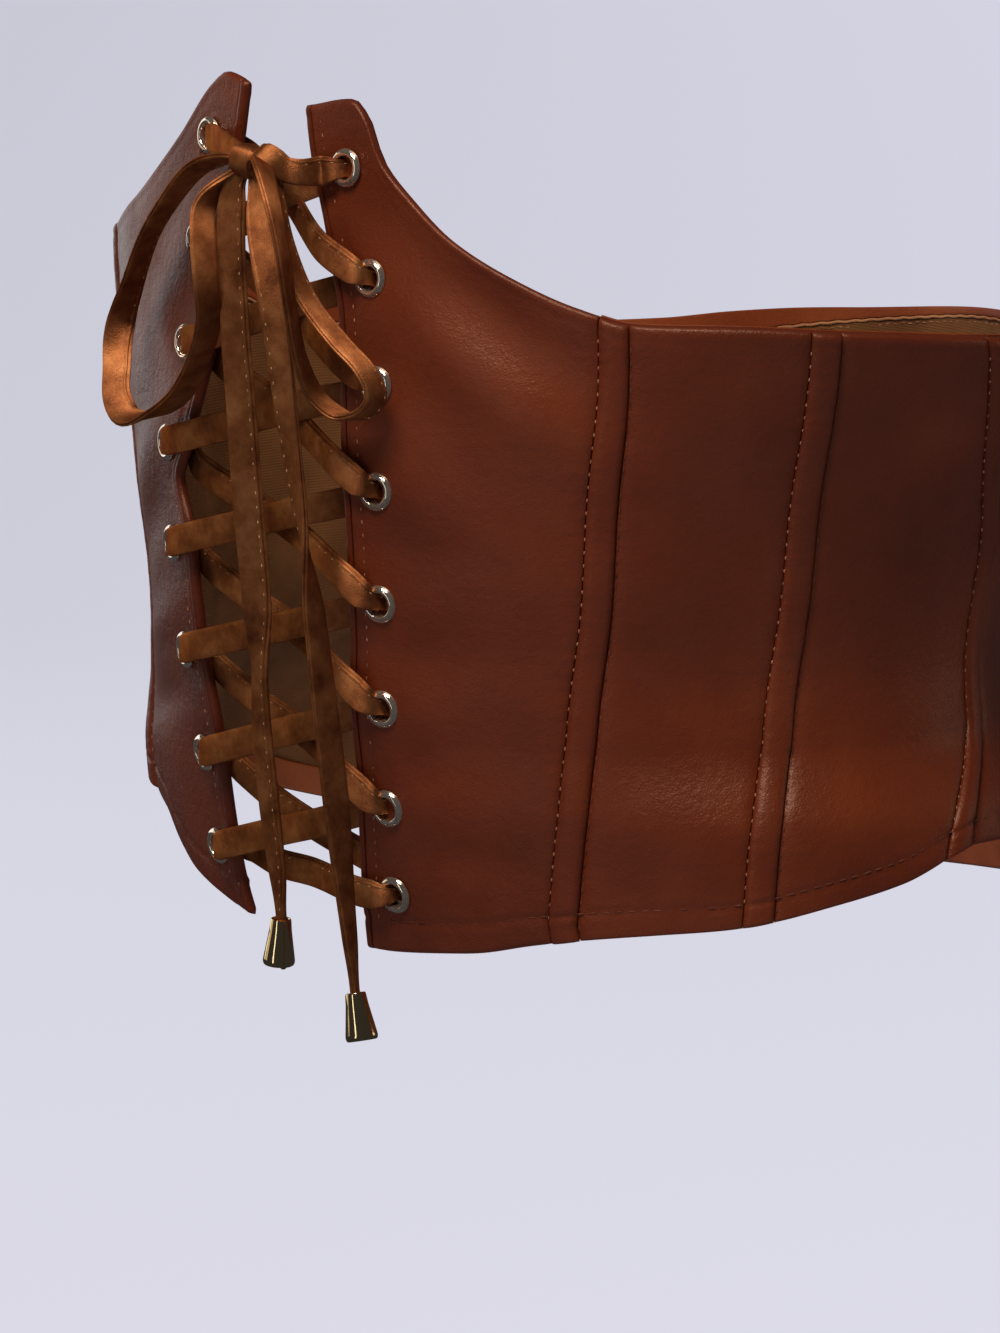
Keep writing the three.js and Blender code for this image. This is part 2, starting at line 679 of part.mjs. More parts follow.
// One half of the lacing, from the knot down to the lowest pair of eyelets
function lacingHalf(firstSide, frames) {
  const starts = LACING_STARTS[firstSide].map(({ x, y, z }) => new THREE.Vector3(x, y, z));
  const sections = [section(starts[0], UP, FOLDED), section(starts[1], UP, FOLDED)];
  const count = frames.left.length;
  let side = firstSide;
  let from = starts[1];
  for (let row = 0; row < count; row += 1) {
    const frame = frames[side][row];
    const next = row + 1 < count ? frames[otherSide(side)][row + 1] : frames[otherSide(side)][row];
    sections.push(beside(frame, from, overFlange));
    sections.push(inHole(frame, overFlange));
    sections.push(inHole(frame, underWasher));
    sections.push(beside(frame, next.point, underWasher));
    const lastRow = row + 1 === count;
    const meetsBar = row + 2 === count && firstSide === 'right';
    const out = otherSide(side) === 'right' ? crossFront : crossBehind;
    if (meetsBar) {
      sections.push(...crossing(frame, side, next, otherSide(side), out, underEdge));
      break;
    }
    const level = lastRow ? crossMiddle : out;
    sections.push(...crossing(frame, side, next, otherSide(side), level));
    if (lastRow) {
      sections.push(beside(next, frame.point, overFlange));
      sections.push(inHole(next, overFlange));
      sections.push(inHole(next, underWasher));
      break;
    }
    from = frame.point;
    side = otherSide(side);
  }
  return sections;
}

// A hand-laid stretch: a smooth curve through its points, gathered narrow at both ends
const GATHER_LENGTH = 12;
const GATHERED = 0.5;

function laidLace(points, steps) {
  const curve = new THREE.CatmullRomCurve3(points.map(({ x, y, z }) => new THREE.Vector3(x, y, z)));
  const length = curve.getLength();
  const sections = [];
  for (let i = 0; i <= steps; i += 1) {
    const t = curve.getUtoTmapping(i / steps);
    const place = t * (points.length - 1);
    const row = Math.min(Math.floor(place), points.length - 2);
    const roll = radians(THREE.MathUtils.lerp(points[row].roll, points[row + 1].roll, place - row));
    const tangent = curve.getTangent(t);
    const flat = new THREE.Vector3().crossVectors(tangent, FORWARD).normalize();
    const outward = new THREE.Vector3().crossVectors(flat, tangent);
    const across = flat.multiplyScalar(Math.cos(roll)).addScaledVector(outward, Math.sin(roll));
    const toEnd = (length * Math.min(i, steps - i)) / steps;
    const open = THREE.MathUtils.smoothstep(toEnd, 0, GATHER_LENGTH);
    sections.push(section(curve.getPoint(t), across, THREE.MathUtils.lerp(GATHERED, 1, open)));
  }
  return sections;
}

function addAglet(name, tailEnd, lean) {
  const profile = [
    new THREE.Vector2(0, 0),
    new THREE.Vector2(AGLET_TOP_RADIUS, 0),
    new THREE.Vector2(AGLET_TOP_RADIUS * 1.1, 0.25 * AGLET_LENGTH),
    new THREE.Vector2(AGLET_MOUTH_RADIUS, 0.9 * AGLET_LENGTH),
    new THREE.Vector2(AGLET_MOUTH_RADIUS * 0.92, AGLET_LENGTH),
    new THREE.Vector2(0, AGLET_LENGTH),
  ];
  const mesh = add(name, new THREE.LatheGeometry(profile, AGLET_SIDES), paleGold);
  const axis = new THREE.Vector3(lean.x, 0, lean.z).normalize();
  mesh.quaternion.setFromUnitVectors(new THREE.Vector3(0, 1, 0), axis);
  mesh.position.set(tailEnd.x, tailEnd.y, tailEnd.z).addScaledVector(axis, 2 * CLEARANCE);
}

function addKnot() {
  const knot = new THREE.SphereGeometry(0.5, KNOT_SIDES, KNOT_RINGS);
  knot.scale(KNOT_WIDTH, KNOT_DEPTH, KNOT_HEIGHT);
  add('knot', knot, satin).position.set(KNOT.x, KNOT.y, KNOT.z);
}

const frames = { left: [], right: [] };
for (const side of ['left', 'right']) {
  EYELETS.forEach((row, i) => {
    const frame = eyeletFrame(side, row);
    frames[side].push(frame);
    addEyelet(`eyelet_${side}_${i + 1}`, frame);
  });
  addSide(side, frames[side]);
}
addBack();
addLace('lacing_left', lacingHalf('left', frames), POINTED_BORDER);
addLace('lacing_right', lacingHalf('right', frames), POINTED_BORDER);
addKnot();
addLace('bow_loop_left', laidLace(BOW_LEFT, LOOP_STEPS), ROUND_BORDER);
addLace('bow_loop_right', laidLace(BOW_RIGHT, LOOP_STEPS), ROUND_BORDER);
addLace('lace_tail_left', laidLace(TAIL_LEFT, TAIL_STEPS), ROUND_BORDER);
addLace('lace_tail_right', laidLace(TAIL_RIGHT, TAIL_STEPS), ROUND_BORDER);
addAglet('aglet_left', TAIL_LEFT[TAIL_LEFT.length - 1], AGLET_LEFT_LEAN);
addAglet('aglet_right', TAIL_RIGHT[TAIL_RIGHT.length - 1], AGLET_RIGHT_LEAN);

export default group;
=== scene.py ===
# Corset belt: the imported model, dressed with leather, lining, stitches, laces and metal.
# Metres, +Z up, the front faces -Y and +X is the wearer's left. Sizes inside a section are in
# millimetres, as the belt was measured, and each mesh is scaled to metres when it is finished.
import math

import bmesh
import bpy
import numpy as np
from mathutils import Matrix, Vector


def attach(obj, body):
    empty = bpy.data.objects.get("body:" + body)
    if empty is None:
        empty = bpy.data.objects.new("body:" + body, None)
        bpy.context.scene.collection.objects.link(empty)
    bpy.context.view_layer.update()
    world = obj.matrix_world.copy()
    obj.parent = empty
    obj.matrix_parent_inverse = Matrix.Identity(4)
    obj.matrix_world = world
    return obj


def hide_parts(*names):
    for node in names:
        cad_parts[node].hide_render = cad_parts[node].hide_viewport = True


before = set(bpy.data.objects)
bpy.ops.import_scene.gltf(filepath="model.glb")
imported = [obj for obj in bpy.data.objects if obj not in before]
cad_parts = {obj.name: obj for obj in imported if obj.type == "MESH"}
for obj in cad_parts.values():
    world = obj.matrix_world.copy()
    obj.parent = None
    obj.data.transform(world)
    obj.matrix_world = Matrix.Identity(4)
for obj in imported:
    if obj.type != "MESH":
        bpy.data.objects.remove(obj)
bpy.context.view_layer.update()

# Front panels
# Two stiff peaked panels of polyurethane-coated leather, one on each side of the opening. Each
# is doubled with a facing, turned in and stitched along its edges, and punched for eyelets.
# Their outer face lies on the wearer's form, which the tables give in shares of its main sizes.
MM = 0.001
FRONT_HEIGHT = 206
WAIST_HALF_WIDTH = 119
FRONT_DEPTH = 104
BACK_DEPTH = 87
OPENING_HALF_WIDTH = 30
LEATHER = 1.6
DOUBLED_LEATHER = 2.7
CHANNEL_WIDTH = 7.3
EDGE_WIDTH = 2.4
EYELET_INSET = 11
PUNCHED_RADIUS = 3.5
TIGHT_GAP = 0.04
FRONT_STITCH = 5.5
HEM_STITCH_FRONT = 8
HEM_STITCH_SIDE = 5.6
MESH_SPACING = 1.2
EYELET_DENT = 0.35
EYELET_DENT_REACH = 6.0
SIDES = ("left", "right")


def table(columns, rows):
    """Rows of numbers, each with the names of its columns."""
    return [dict(zip(columns.split(), row)) for row in rows]


BODY = table("rise width front back", [
    (-0.34, 1.193, 0.846, 1.138), (-0.17, 1.143, 0.909, 1.092), (-0.058, 1.109, 0.952, 1.034),
    (0.039, 1.017, 0.990, 1.000), (0.121, 1.000, 1.010, 1.000), (0.291, 1.042, 1.034, 1.034),
    (0.534, 1.168, 1.010, 1.103), (0.801, 1.235, 0.981, 1.149),
])
OUTLINE = table("turn top hem", [
    (-180, 0.448, -0.243), (-170, 0.438, -0.247), (-160, 0.425, -0.250), (-150, 0.410, -0.252),
    (-140, 0.403, -0.252), (-120, 0.411, -0.243), (-96, 0.434, -0.204), (-75, 0.508, -0.136),
    (-57, 0.565, -0.087), (-43, 0.575, -0.097), (-30, 0.619, -0.131), (-26, 0.639, -0.165),
    (-22, 0.665, -0.192), (-16, 0.713, -0.211), (-9.5, 0.779, -0.226), (-7.5, 0.791, -0.228),
    (-3, 0.779, -0.228), (3, 0.760, -0.231), (11, 0.774, -0.231), (13, 0.755, -0.230),
    (15, 0.709, -0.228), (19, 0.665, -0.223), (24, 0.621, -0.216), (31, 0.583, -0.199),
    (39, 0.551, -0.184), (46, 0.534, -0.175), (57, 0.532, -0.163), (70, 0.524, -0.138),
    (80, 0.517, -0.119), (95, 0.505, -0.085), (108, 0.495, -0.092), (130, 0.483, -0.165),
    (155, 0.474, -0.214), (180, 0.448, -0.243),
])
SEAMS = table("rise front side rear back", [
    (-0.17, 36.9, 60.8, 89.5, 140), (-0.058, 40.1, 63.9, 94.5, 142),
    (0.049, 45.2, 70.0, 106.0, 144), (0.218, 48.0, 72.7, 107.5, 144),
    (0.388, 47.1, 71.8, 102.0, 142), (0.534, 45.0, 70.0, 96.0, 140),
])
FRONT_EDGES = table("rise left right", [
    (-0.228, 0.713, 0.783), (-0.170, 0.743, 0.867), (-0.097, 0.810, 0.880), (0.000, 0.900, 0.860),
    (0.097, 0.933, 0.983), (0.184, 0.987, 1.017), (0.243, 1.000, 1.050), (0.301, 0.990, 1.230),
    (0.340, 0.967, 1.070), (0.398, 0.937, 0.880), (0.461, 0.917, 0.710), (0.534, 0.867, 0.613),
    (0.578, 0.790, 0.550), (0.626, 0.690, 0.493), (0.704, 0.500, 0.400), (0.777, 0.390, 0.323),
])
EYELETS = table("left right left_inset right_inset", [
    (0.695, 0.714, 1.10, 1.20), (0.571, 0.590, 1.12, 1.16), (0.449, 0.466, 1.05, 1.12),
    (0.326, 0.341, 0.95, 1.05), (0.194, 0.220, 0.88, 1.03), (0.069, 0.092, 0.91, 0.93),
    (-0.051, -0.031, 0.91, 0.82), (-0.157, -0.147, 1.04, 0.80),
])
# Soft folds that the wearer's form and the lace's pull leave in the leather: turn and rise of
# the middle, lean of the fold from level, and its half length, half width and height
FOLDS = table("turn rise lean long wide high", [
    (31, 0.455, -31, 32, 8, 2.2), (29, 0.545, -33, 34, 9, -2.6), (25, 0.650, -40, 26, 8, 1.4),
    (22, 0.326, -6, 15, 6, 0.6), (25, 0.258, -3, 17, 6, -0.7), (22, 0.194, 0, 15, 6, 0.6),
    (24, 0.130, 3, 17, 6, -0.7), (21, 0.069, 4, 15, 6, 0.6), (23, 0.005, 5, 18, 6, -0.7),
    (20, -0.051, 5, 15, 6, 0.5), (24, -0.105, 6, 20, 5, -0.6), (-26, 0.33, 30, 22, 7, 0.9),
    (-28, 0.24, 24, 24, 7, -0.9), (-27, 0.12, 20, 24, 6, 0.7), (-28, 0.02, 18, 24, 6, -0.7),
    (-20, 0.58, 50, 24, 7, -0.7), (50, -0.06, 6, 14, 9, 0.5), (60, 0.30, 12, 26, 16, -0.3),
    (88, 0.36, 20, 30, 14, 0.3), (120, 0.10, -8, 34, 11, -0.8), (122, 0.26, -14, 34, 12, 0.8),
    (172, 0.06, 4, 46, 10, -0.9), (190, 0.20, -5, 46, 12, 0.8), (-58, 0.10, -10, 26, 11, -0.7),
    (-88, 0.22, -12, 30, 12, 0.8), (-122, 0.10, 8, 34, 11, -0.8),
])


def bend(t, start, end, leaving, arriving):
    """A smooth step from one value to another, with a given slope at each."""
    held = (1 + 2 * t) * (1 - t) ** 2 * start + t * t * (3 - 2 * t) * end
    return held + t * (1 - t) ** 2 * leaving + t * t * (t - 1) * arriving


def run_along(points):
    """How far along a line each of its points lies."""
    return np.concatenate(([0], np.cumsum(np.linalg.norm(np.diff(points, axis=0), axis=1))))


def at_run(run, gone, points):
    """The points at given distances along a line."""
    return np.stack([np.interp(run, gone, points[:, k]) for k in range(3)], axis=-1)


def unit(rows):
    return rows / np.linalg.norm(rows, axis=-1, keepdims=True)


def follow(rows, key, at, column):
    """A smooth curve through a table's rows that never swings past them."""
    known = np.array([row[key] for row in rows], float)
    value = np.array([row[column] for row in rows], float)
    slope = np.diff(value) / np.diff(known)
    before, after = slope[:-1], slope[1:]
    same_way = before * after > 0
    total = np.where(same_way, before + after, 1)
    inner = np.where(same_way, 2 * before * after / total, 0)
    tangent = np.concatenate(([slope[0]], inner, [slope[-1]]))
    at = np.clip(at, known[0], known[-1])
    i = np.clip(np.searchsorted(known, at, side="right") - 1, 0, len(slope) - 1)
    width = np.diff(known)[i]
    t = (at - known[i]) / width
    return bend(t, value[i], value[i + 1], width * tangent[i], width * tangent[i + 1])


def by_height(rows, z, column):
    return follow(rows, "rise", np.asarray(z, float) / FRONT_HEIGHT, column)


def skin(turn, z):
    """A point on the leather's outer face."""
    angle = np.radians(turn)
    front = FRONT_DEPTH * by_height(BODY, z, "front")
    back = BACK_DEPTH * by_height(BODY, z, "back")
    depth = np.where(np.cos(angle) > 0, front, back)
    width = WAIST_HALF_WIDTH * by_height(BODY, z, "width")
    return np.stack(np.broadcast_arrays(width * np.sin(angle), -depth * np.cos(angle), z), axis=-1)


def per_turn(turn, z):
    """Millimetres round the body for one degree of turn."""
    return np.linalg.norm(skin(turn + 0.05, z) - skin(turn - 0.05, z), axis=-1) / 0.1


def outward(turn, z):
    around = skin(turn + 0.05, z) - skin(turn - 0.05, z)
    upward = skin(turn, z + 0.05) - skin(turn, z - 0.05)
    return unit(np.cross(around, upward))


def off(turn, z, out):
    """A point that lies out from the skin by a distance."""
    turn, z, out = np.broadcast_arrays(np.asarray(turn, float), z, out)
    return skin(turn, z) + outward(turn, z) * out[..., None]


def side_sign(side):
    return 1 if side == "left" else -1


def edge_turn(side, z, moved):
    """The turn of the opening's edge, moved to the rear by a distance."""
    half = OPENING_HALF_WIDTH * by_height(FRONT_EDGES, z, side)
    turn = np.degrees(np.arcsin(half / (WAIST_HALF_WIDTH * by_height(BODY, z, "width"))))
    return side_sign(side) * (turn + moved / per_turn(turn, z))


def seam_turn(side, seam, z, moved):
    turn = by_height(SEAMS, z, seam)
    return side_sign(side) * (turn + moved / per_turn(turn, z))


def wrapped(turn):
    return (turn + 180) % 360 - 180


def top_at(turn):
    return FRONT_HEIGHT * follow(OUTLINE, "turn", wrapped(turn), "top")


def hem_at(turn):
    return FRONT_HEIGHT * follow(OUTLINE, "turn", wrapped(turn), "hem")


def shifted(line, by):
    return lambda at: line(at) + by


def meet(line, limit, shares):
    """The height at which each of several rising lines meets the top edge or the hem."""
    low = np.full(len(shares), -0.5 * FRONT_HEIGHT)
    high = np.full(len(shares), 1.0 * FRONT_HEIGHT)
    for _ in range(30):
        middle = (low + high) / 2
        below = limit(line(middle)) > middle
        low, high = np.where(below, middle, low), np.where(below, high, middle)
    return (low + high) / 2


def stations(length, spacing, rim):
    """Distances across a piece, closer together where its rims are rolled."""
    quarter = rim * (1 - np.cos(np.radians([0, 25, 48, 70])))
    count = max(2, round((length - 2 * rim) / spacing))
    middle = np.linspace(rim, length - rim, count + 1)
    return np.concatenate((quarter, middle, length - quarter[::-1]))


def roll(distance, reach):
    """How far a rim has rolled in at a distance from it: 1 at the rim and 0 past its reach."""
    left = np.clip(1 - distance / reach, 0, 1)
    return 1 - np.sqrt(1 - left ** 2)


def laid_grid(bm, places, flat):
    """A flat grid of cloth or leather, with each crossing moved to its place."""
    rows, columns = places.shape[0] - 1, places.shape[1] - 1
    made = bmesh.ops.create_grid(bm, x_segments=columns, y_segments=rows, size=0.5)
    unwrap = bm.loops.layers.uv.verify()
    where = {}
    for vert in made["verts"]:
        where[vert] = (round((vert.co.y + 0.5) * rows), round((vert.co.x + 0.5) * columns))
    for face in {face for vert in made["verts"] for face in vert.link_faces}:
        face.smooth = True
        for loop in face.loops:
            loop[unwrap].uv = flat[where[loop.vert]]
    for vert, place in where.items():
        vert.co = places[place]


def smoothed(bm):
    for face in bm.faces:
        face.smooth = True


def placed(name, data):
    made = bpy.data.objects.new(name, data)
    bpy.context.scene.collection.objects.link(made)
    return made


def finish_mesh(bm, name, material, node=None, sharp=50):
    """A finished piece: scaled to metres, riding on the belt's one body, in the place of a node
    where it dresses one."""
    bmesh.ops.scale(bm, vec=(MM, MM, MM), verts=bm.verts)
    mesh = bpy.data.meshes.new(name)
    bm.to_mesh(mesh)
    bm.free()
    mesh.materials.append(material)
    mesh.set_sharp_from_angle(angle=math.radians(sharp))
    piece = placed(name, mesh)
    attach(piece, "root")
    if node:
        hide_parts(node)
    return piece


def fold_relief(turn, z):
    """How far the soft folds lift the leather at a turn and a height."""
    lift = np.zeros(np.broadcast(turn, z).shape)
    for fold in FOLDS:
        middle = fold["rise"] * FRONT_HEIGHT
        away = wrapped(turn - fold["turn"]) * per_turn(fold["turn"], middle)
        up = z - middle
        lean = math.radians(fold["lean"])
        along = away * math.cos(lean) + up * math.sin(lean)
        beside = up * math.cos(lean) - away * math.sin(lean)
        lift += fold["high"] * np.exp(-(along / fold["long"]) ** 2 - (beside / fold["wide"]) ** 2)
    return lift


def hem_stitch(turn):
    """How far the hem's stitches run above it: widest at the opening."""
    share = np.clip((np.abs(wrapped(turn)) - 15) / 40, 0, 1)
    return HEM_STITCH_FRONT + (HEM_STITCH_SIDE - HEM_STITCH_FRONT) * share


def groove(distance, deep, wide):
    return -deep * np.exp(-(distance / wide) ** 2)


def puckers(along, distance, high, pitch, reach, shift=0.0):
    """Small gathers where a row of stitches pulls the leather in."""
    wave = np.sin(2 * np.pi * along / pitch + shift)
    wave = wave + 0.6 * np.sin(2 * np.pi * along / (0.37 * pitch) + 2 * shift)
    return high * wave * np.exp(-np.abs(distance) / reach)


def sewn_border(z, distance, deep, wide, high, pitch, reach, shift):
    """The groove and the gathers beside an upright row of stitches."""
    return groove(distance, deep, wide) + puckers(z, distance, high, pitch, reach, shift)


def leather_relief(turn, z, up, down):
    """The form that every leather piece shares: folds, the stitched hem and the turned top."""
    along = z * 0 + turn * 2
    hem = up - hem_stitch(turn)
    lift = fold_relief(turn, z) + groove(hem, 0.35, 0.7) + puckers(along, hem, 0.10, 7.3, 2.6)
    swell = np.sin(0.11 * z + 0.09 * turn) * np.sin(0.07 * turn - 0.05 * z + 1.3)
    return lift + 0.12 * swell + groove(down - 3.2, 0.12, 1.0)


def rising(side, front, rear):
    """A piece's front and rear in the order of rising turns, or the other way round."""
    return (front, rear) if side == "left" else (rear, front)


def slab(name, side, front, rear, thick, relief, material, node=None, low=hem_at,
         high=top_at, top_roll=None, rounds=None, base=0.0, spacing=MESH_SPACING, holes=()):
    """A wall piece between two upright lines, rolled over at its rims. relief gives how far its
    outer face lifts, from the turn, the height and the distances to its front, rear, lower and
    upper border. rounds are the reaches of its front and its rear roll."""
    half = thick / 2
    top_roll = top_roll or half
    start, end = rising(side, front, rear)
    start_round, end_round = rising(side, *(rounds or (half, half)))
    middle = (low(start(0.0)) + high(start(0.0))) / 2
    between = (start(middle) + end(middle)) / 2
    width = float((end(middle) - start(middle)) * per_turn(between, middle))
    across = stations(width, spacing, min(start_round, end_round))
    shares = across / width

    def lines(z):
        return start(z) + (end(z) - start(z)) * shares

    bottoms = meet(lines, low, shares)
    tops = meet(lines, high, shares)
    height = float(np.max(tops - bottoms))
    along = stations(height, spacing, max(half, 0.8)) / height
    z = bottoms + (tops - bottoms) * along[:, None]
    turn = lines(z)
    local = (end(z) - start(z)) * per_turn(turn, z)
    from_start, from_end = shares * local, (1 - shares) * local
    up, down = z - bottoms, tops - z
    at_start, at_end = roll(from_start, start_round), roll(from_end, end_round)
    at_hem, at_top = roll(up, half), roll(down, top_roll)
    closed = 1 - (1 - at_start) * (1 - at_end) * (1 - at_hem) * (1 - at_top)
    level = -(half + (top_roll - half) * at_top)
    lift = relief(turn, z, *rising(side, from_start, from_end), up, down)
    outer = base + (1 - closed) * lift + closed * (level + 0.5 * lift)
    inner = base + (1 - closed) * (lift - thick) + closed * (level + 0.5 * lift)
    flat = np.stack((np.broadcast_to(across, z.shape), z), axis=-1)

    bm = bmesh.new()
    laid_grid(bm, off(turn, z, outer), flat)
    outer_faces = set(bm.faces)
    laid_grid(bm, off(turn, z, inner), flat)
    bmesh.ops.reverse_faces(bm, faces=[face for face in bm.faces if face not in outer_faces])
    for hole in holes:
        punch(bm, hole)
    bmesh.ops.remove_doubles(bm, verts=bm.verts, dist=0.004)
    return finish_mesh(bm, name, material, node)


def eyelet_place(side, row):
    z = FRONT_HEIGHT * row[side]
    turn = float(edge_turn(side, z, EYELET_INSET * row[f"{side}_inset"]))
    return {"turn": turn, "z": z, "point": skin(turn, z), "normal": outward(turn, z)}


def punch(bm, hole):
    """A round hole for an eyelet: faces inside it go, and its border is set on the circle."""
    point, normal = Vector(hole["point"]), Vector(hole["normal"])

    def from_axis(place):
        gap = place - point
        return gap - normal * gap.dot(normal)

    near = [vert for vert in bm.verts if (vert.co - point).length < 3 * PUNCHED_RADIUS]
    inside = {vert for vert in near if from_axis(vert.co).length < PUNCHED_RADIUS}
    gone = [face for face in {f for v in inside for f in v.link_faces}
            if from_axis(face.calc_center_median()).length < PUNCHED_RADIUS]
    bmesh.ops.delete(bm, geom=gone, context="FACES")
    for vert in [vert for vert in near if vert.is_valid and vert.is_boundary]:
        gap = from_axis(vert.co)
        if 0 < gap.length < 1.6 * PUNCHED_RADIUS:
            vert.co += gap.normalized() * (PUNCHED_RADIUS - gap.length)
    loose = [vert for vert in near if vert.is_valid and not vert.link_faces]
    bmesh.ops.delete(bm, geom=loose, context="VERTS")
    near = {vert for vert in near if vert.is_valid}
    rims = [edge for edge in bm.edges if edge.is_boundary and near.issuperset(edge.verts)]
    bmesh.ops.bridge_loops(bm, edges=rims)


def add_node(tree, kind, inputs=(), **settings):
    """Adds a shader node with its settings, and sets or links its inputs."""
    made = tree.nodes.new("ShaderNode" + kind)
    for name, value in settings.items():
        setattr(made, name, value)
    for socket, value in dict(inputs).items():
        if isinstance(value, bpy.types.NodeSocket):
            tree.links.new(value, made.inputs[socket])
        else:
            made.inputs[socket].default_value = value
    return made


def colour(value):
    """A colour written as sRGB hex, turned to linear."""
    channels = [((value >> shift) & 255) / 255 for shift in (16, 8, 0)]
    linear = [c / 12.92 if c <= 0.04045 else ((c + 0.055) / 1.055) ** 2.4 for c in channels]
    return (*linear, 1.0)


def new_material(name):
    """A material with an empty tree, and the object's own coordinates in it."""
    material = bpy.data.materials.new(name)
    material.use_nodes = True
    tree = material.node_tree
    tree.nodes.clear()
    return material, tree, add_node(tree, "TexCoord").outputs["Object"]


def noise(tree, place, scale, detail, roughness=0.5):
    return add_node(tree, "TexNoise", {
        "Vector": place, "Scale": scale, "Detail": detail, "Roughness": roughness}).outputs["Fac"]


def spread(tree, value, low, high, to_low, to_high):
    """A pattern's values from low to high, stretched to another range."""
    return add_node(tree, "MapRange", {
        "Value": value, "From Min": low, "From Max": high,
        "To Min": to_low, "To Max": to_high}).outputs["Result"]


def both(tree, operation, first, second):
    return add_node(tree, "Math", {0: first, 1: second}, operation=operation).outputs[0]


def bumped(tree, height, strength, distance):
    return add_node(tree, "Bump", {
        "Strength": strength, "Distance": distance, "Height": height}).outputs["Normal"]


def shaded(material, inputs):
    """Finishes a material with its one shader."""
    tree = material.node_tree
    shader = add_node(tree, "BsdfPrincipled", inputs)
    add_node(tree, "OutputMaterial", {"Surface": shader.outputs["BSDF"]})
    return material


def ramp(tree, factor, stops):
    """Colours between stops along a pattern, from first to last."""
    made = add_node(tree, "ValToRGB", {"Fac": factor})
    elements = made.color_ramp.elements
    while len(elements) < len(stops):
        elements.new(0.5)
    for element, (position, value) in zip(elements, stops):
        element.position = position
        element.color = colour(value)
    return made.outputs["Color"]


def coated_leather(name, dark, middle, light, roughness=0.4, shine=0.38):
    """Coated leather: pressed with a fine pebble grain and lightly glazed, so that it shines
    softly and glitters with grain where light grazes it. Grain cells are about 0.8 mm."""
    material, tree, place = new_material(name)
    cloud = noise(tree, place, 22, 3, 0.55)
    cells = add_node(tree, "TexVoronoi", {
        "Vector": place, "Scale": 1250, "Randomness": 1.0}, feature="DISTANCE_TO_EDGE")
    grain = both(tree, "MULTIPLY", cells.outputs["Distance"], 0.35)
    height = both(tree, "ADD", grain, noise(tree, place, 420, 5, 0.62))
    patch = noise(tree, place, 60, 4, 0.6)
    return shaded(material, {
        "Base Color": ramp(tree, cloud, [(0.3, dark), (0.5, middle), (0.72, light)]),
        "Roughness": spread(tree, patch, 0.3, 0.7, roughness - 0.05, roughness + 0.06),
        "Normal": bumped(tree, height, 0.55, 0.0005), "Specular IOR Level": shine,
        "Specular Tint": colour(0xF2CDB4), "Coat Weight": 0.05, "Coat Roughness": 0.3})


leather = coated_leather("coated leather", 0x4C1D0D, 0x56210E, 0x602812)
eyelet_places = {side: [eyelet_place(side, row) for row in EYELETS] for side in SIDES}


def edge_line(side, moved):
    return lambda z: edge_turn(side, z, moved)


def seam_line(side, seam, moved):
    return lambda z: seam_turn(side, seam, z, moved)


def panel_relief(turn, z, front, rear, up, down):
    lift = leather_relief(turn, z, up, down)
    lift += sewn_border(z, front - (FRONT_STITCH - EDGE_WIDTH), 0.3, 0.6, 0.10, 8.1, 2.2, 0.7)
    lift += sewn_border(z, rear, 0.45, 1.3, 0.09, 9.3, 3.0, 1.9)
    for eyelet in eyelet_places["left"] + eyelet_places["right"]:
        away = (turn - eyelet["turn"]) * per_turn(turn, z)
        gap = np.hypot(away, z - eyelet["z"])
        lift += groove(gap, EYELET_DENT, EYELET_DENT_REACH)
    return lift


for side in SIDES:
    slab(f"front_panel_{side}_leather", side, edge_line(side, EDGE_WIDTH),
         seam_line(side, "front", -CHANNEL_WIDTH - TIGHT_GAP), DOUBLED_LEATHER, panel_relief,
         leather, f"front_panel_{side}", top_roll=1.5, rounds=(0.3, 0.3),
         holes=eyelet_places[side])

# Front edges
# The panels' free edges, where the leather is turned round a stiffener into a smooth rounded
# fold. It is the same leather, stretched tight, so it looks a little redder and glossier.
edge_leather = coated_leather("stretched leather", 0x431709, 0x4E1C0C, 0x5A240F, roughness=0.38)


def edge_relief(turn, z, front, rear, up, down):
    return 0.25 * np.exp(-((front - 1.2) / 1.0) ** 2) + leather_relief(turn, z, up, down)


for side in SIDES:
    slab(f"front_fold_{side}", side, edge_line(side, 0), edge_line(side, EDGE_WIDTH - TIGHT_GAP),
         DOUBLED_LEATHER, edge_relief, edge_leather, f"front_edge_{side}",
         rounds=(1.35, 0.1), spacing=0.5)

# Side and back panels
# Shaped panels of the same leather, with a soft rolled top edge where it turns over a facing.
# Each seam has a ditch on its rear side, where the next panel is sewn and turned.
TOP_ROLL = 2.3
DITCH_ROUND = 1.1
STITCHED_ROUND = 0.3
# Each side panel with the seams before and behind it
SIDE_PANELS = [("side_front_panel", "front", "side"), ("side_panel", "side", "rear"),
               ("side_rear_panel", "rear", "back")]


def side_relief(turn, z, front, rear, up, down):
    lift = leather_relief(turn, z, up, down)
    lift += sewn_border(z, front, 0.5, 2.2, 0.10, 8.6, 2.6, 0.4)
    return lift + sewn_border(z, rear, 0.4, 1.3, 0.09, 9.9, 3.0, 2.2)


def back_relief(turn, z, front, rear, up, down):
    lift = leather_relief(turn, z, up, down)
    for border in (front, rear):
        lift += sewn_border(z, border, 0.5, 2.0, 0.10, 9.1, 2.8, 1.1)
    return lift


for side in SIDES:
    for panel, before, behind in SIDE_PANELS:
        slab(f"{panel}_{side}_leather", side, seam_line(side, before, TIGHT_GAP),
             seam_line(side, behind, -CHANNEL_WIDTH - TIGHT_GAP), LEATHER, side_relief, leather,
             f"{panel}_{side}", top_roll=TOP_ROLL,
             rounds=(DITCH_ROUND, STITCHED_ROUND))

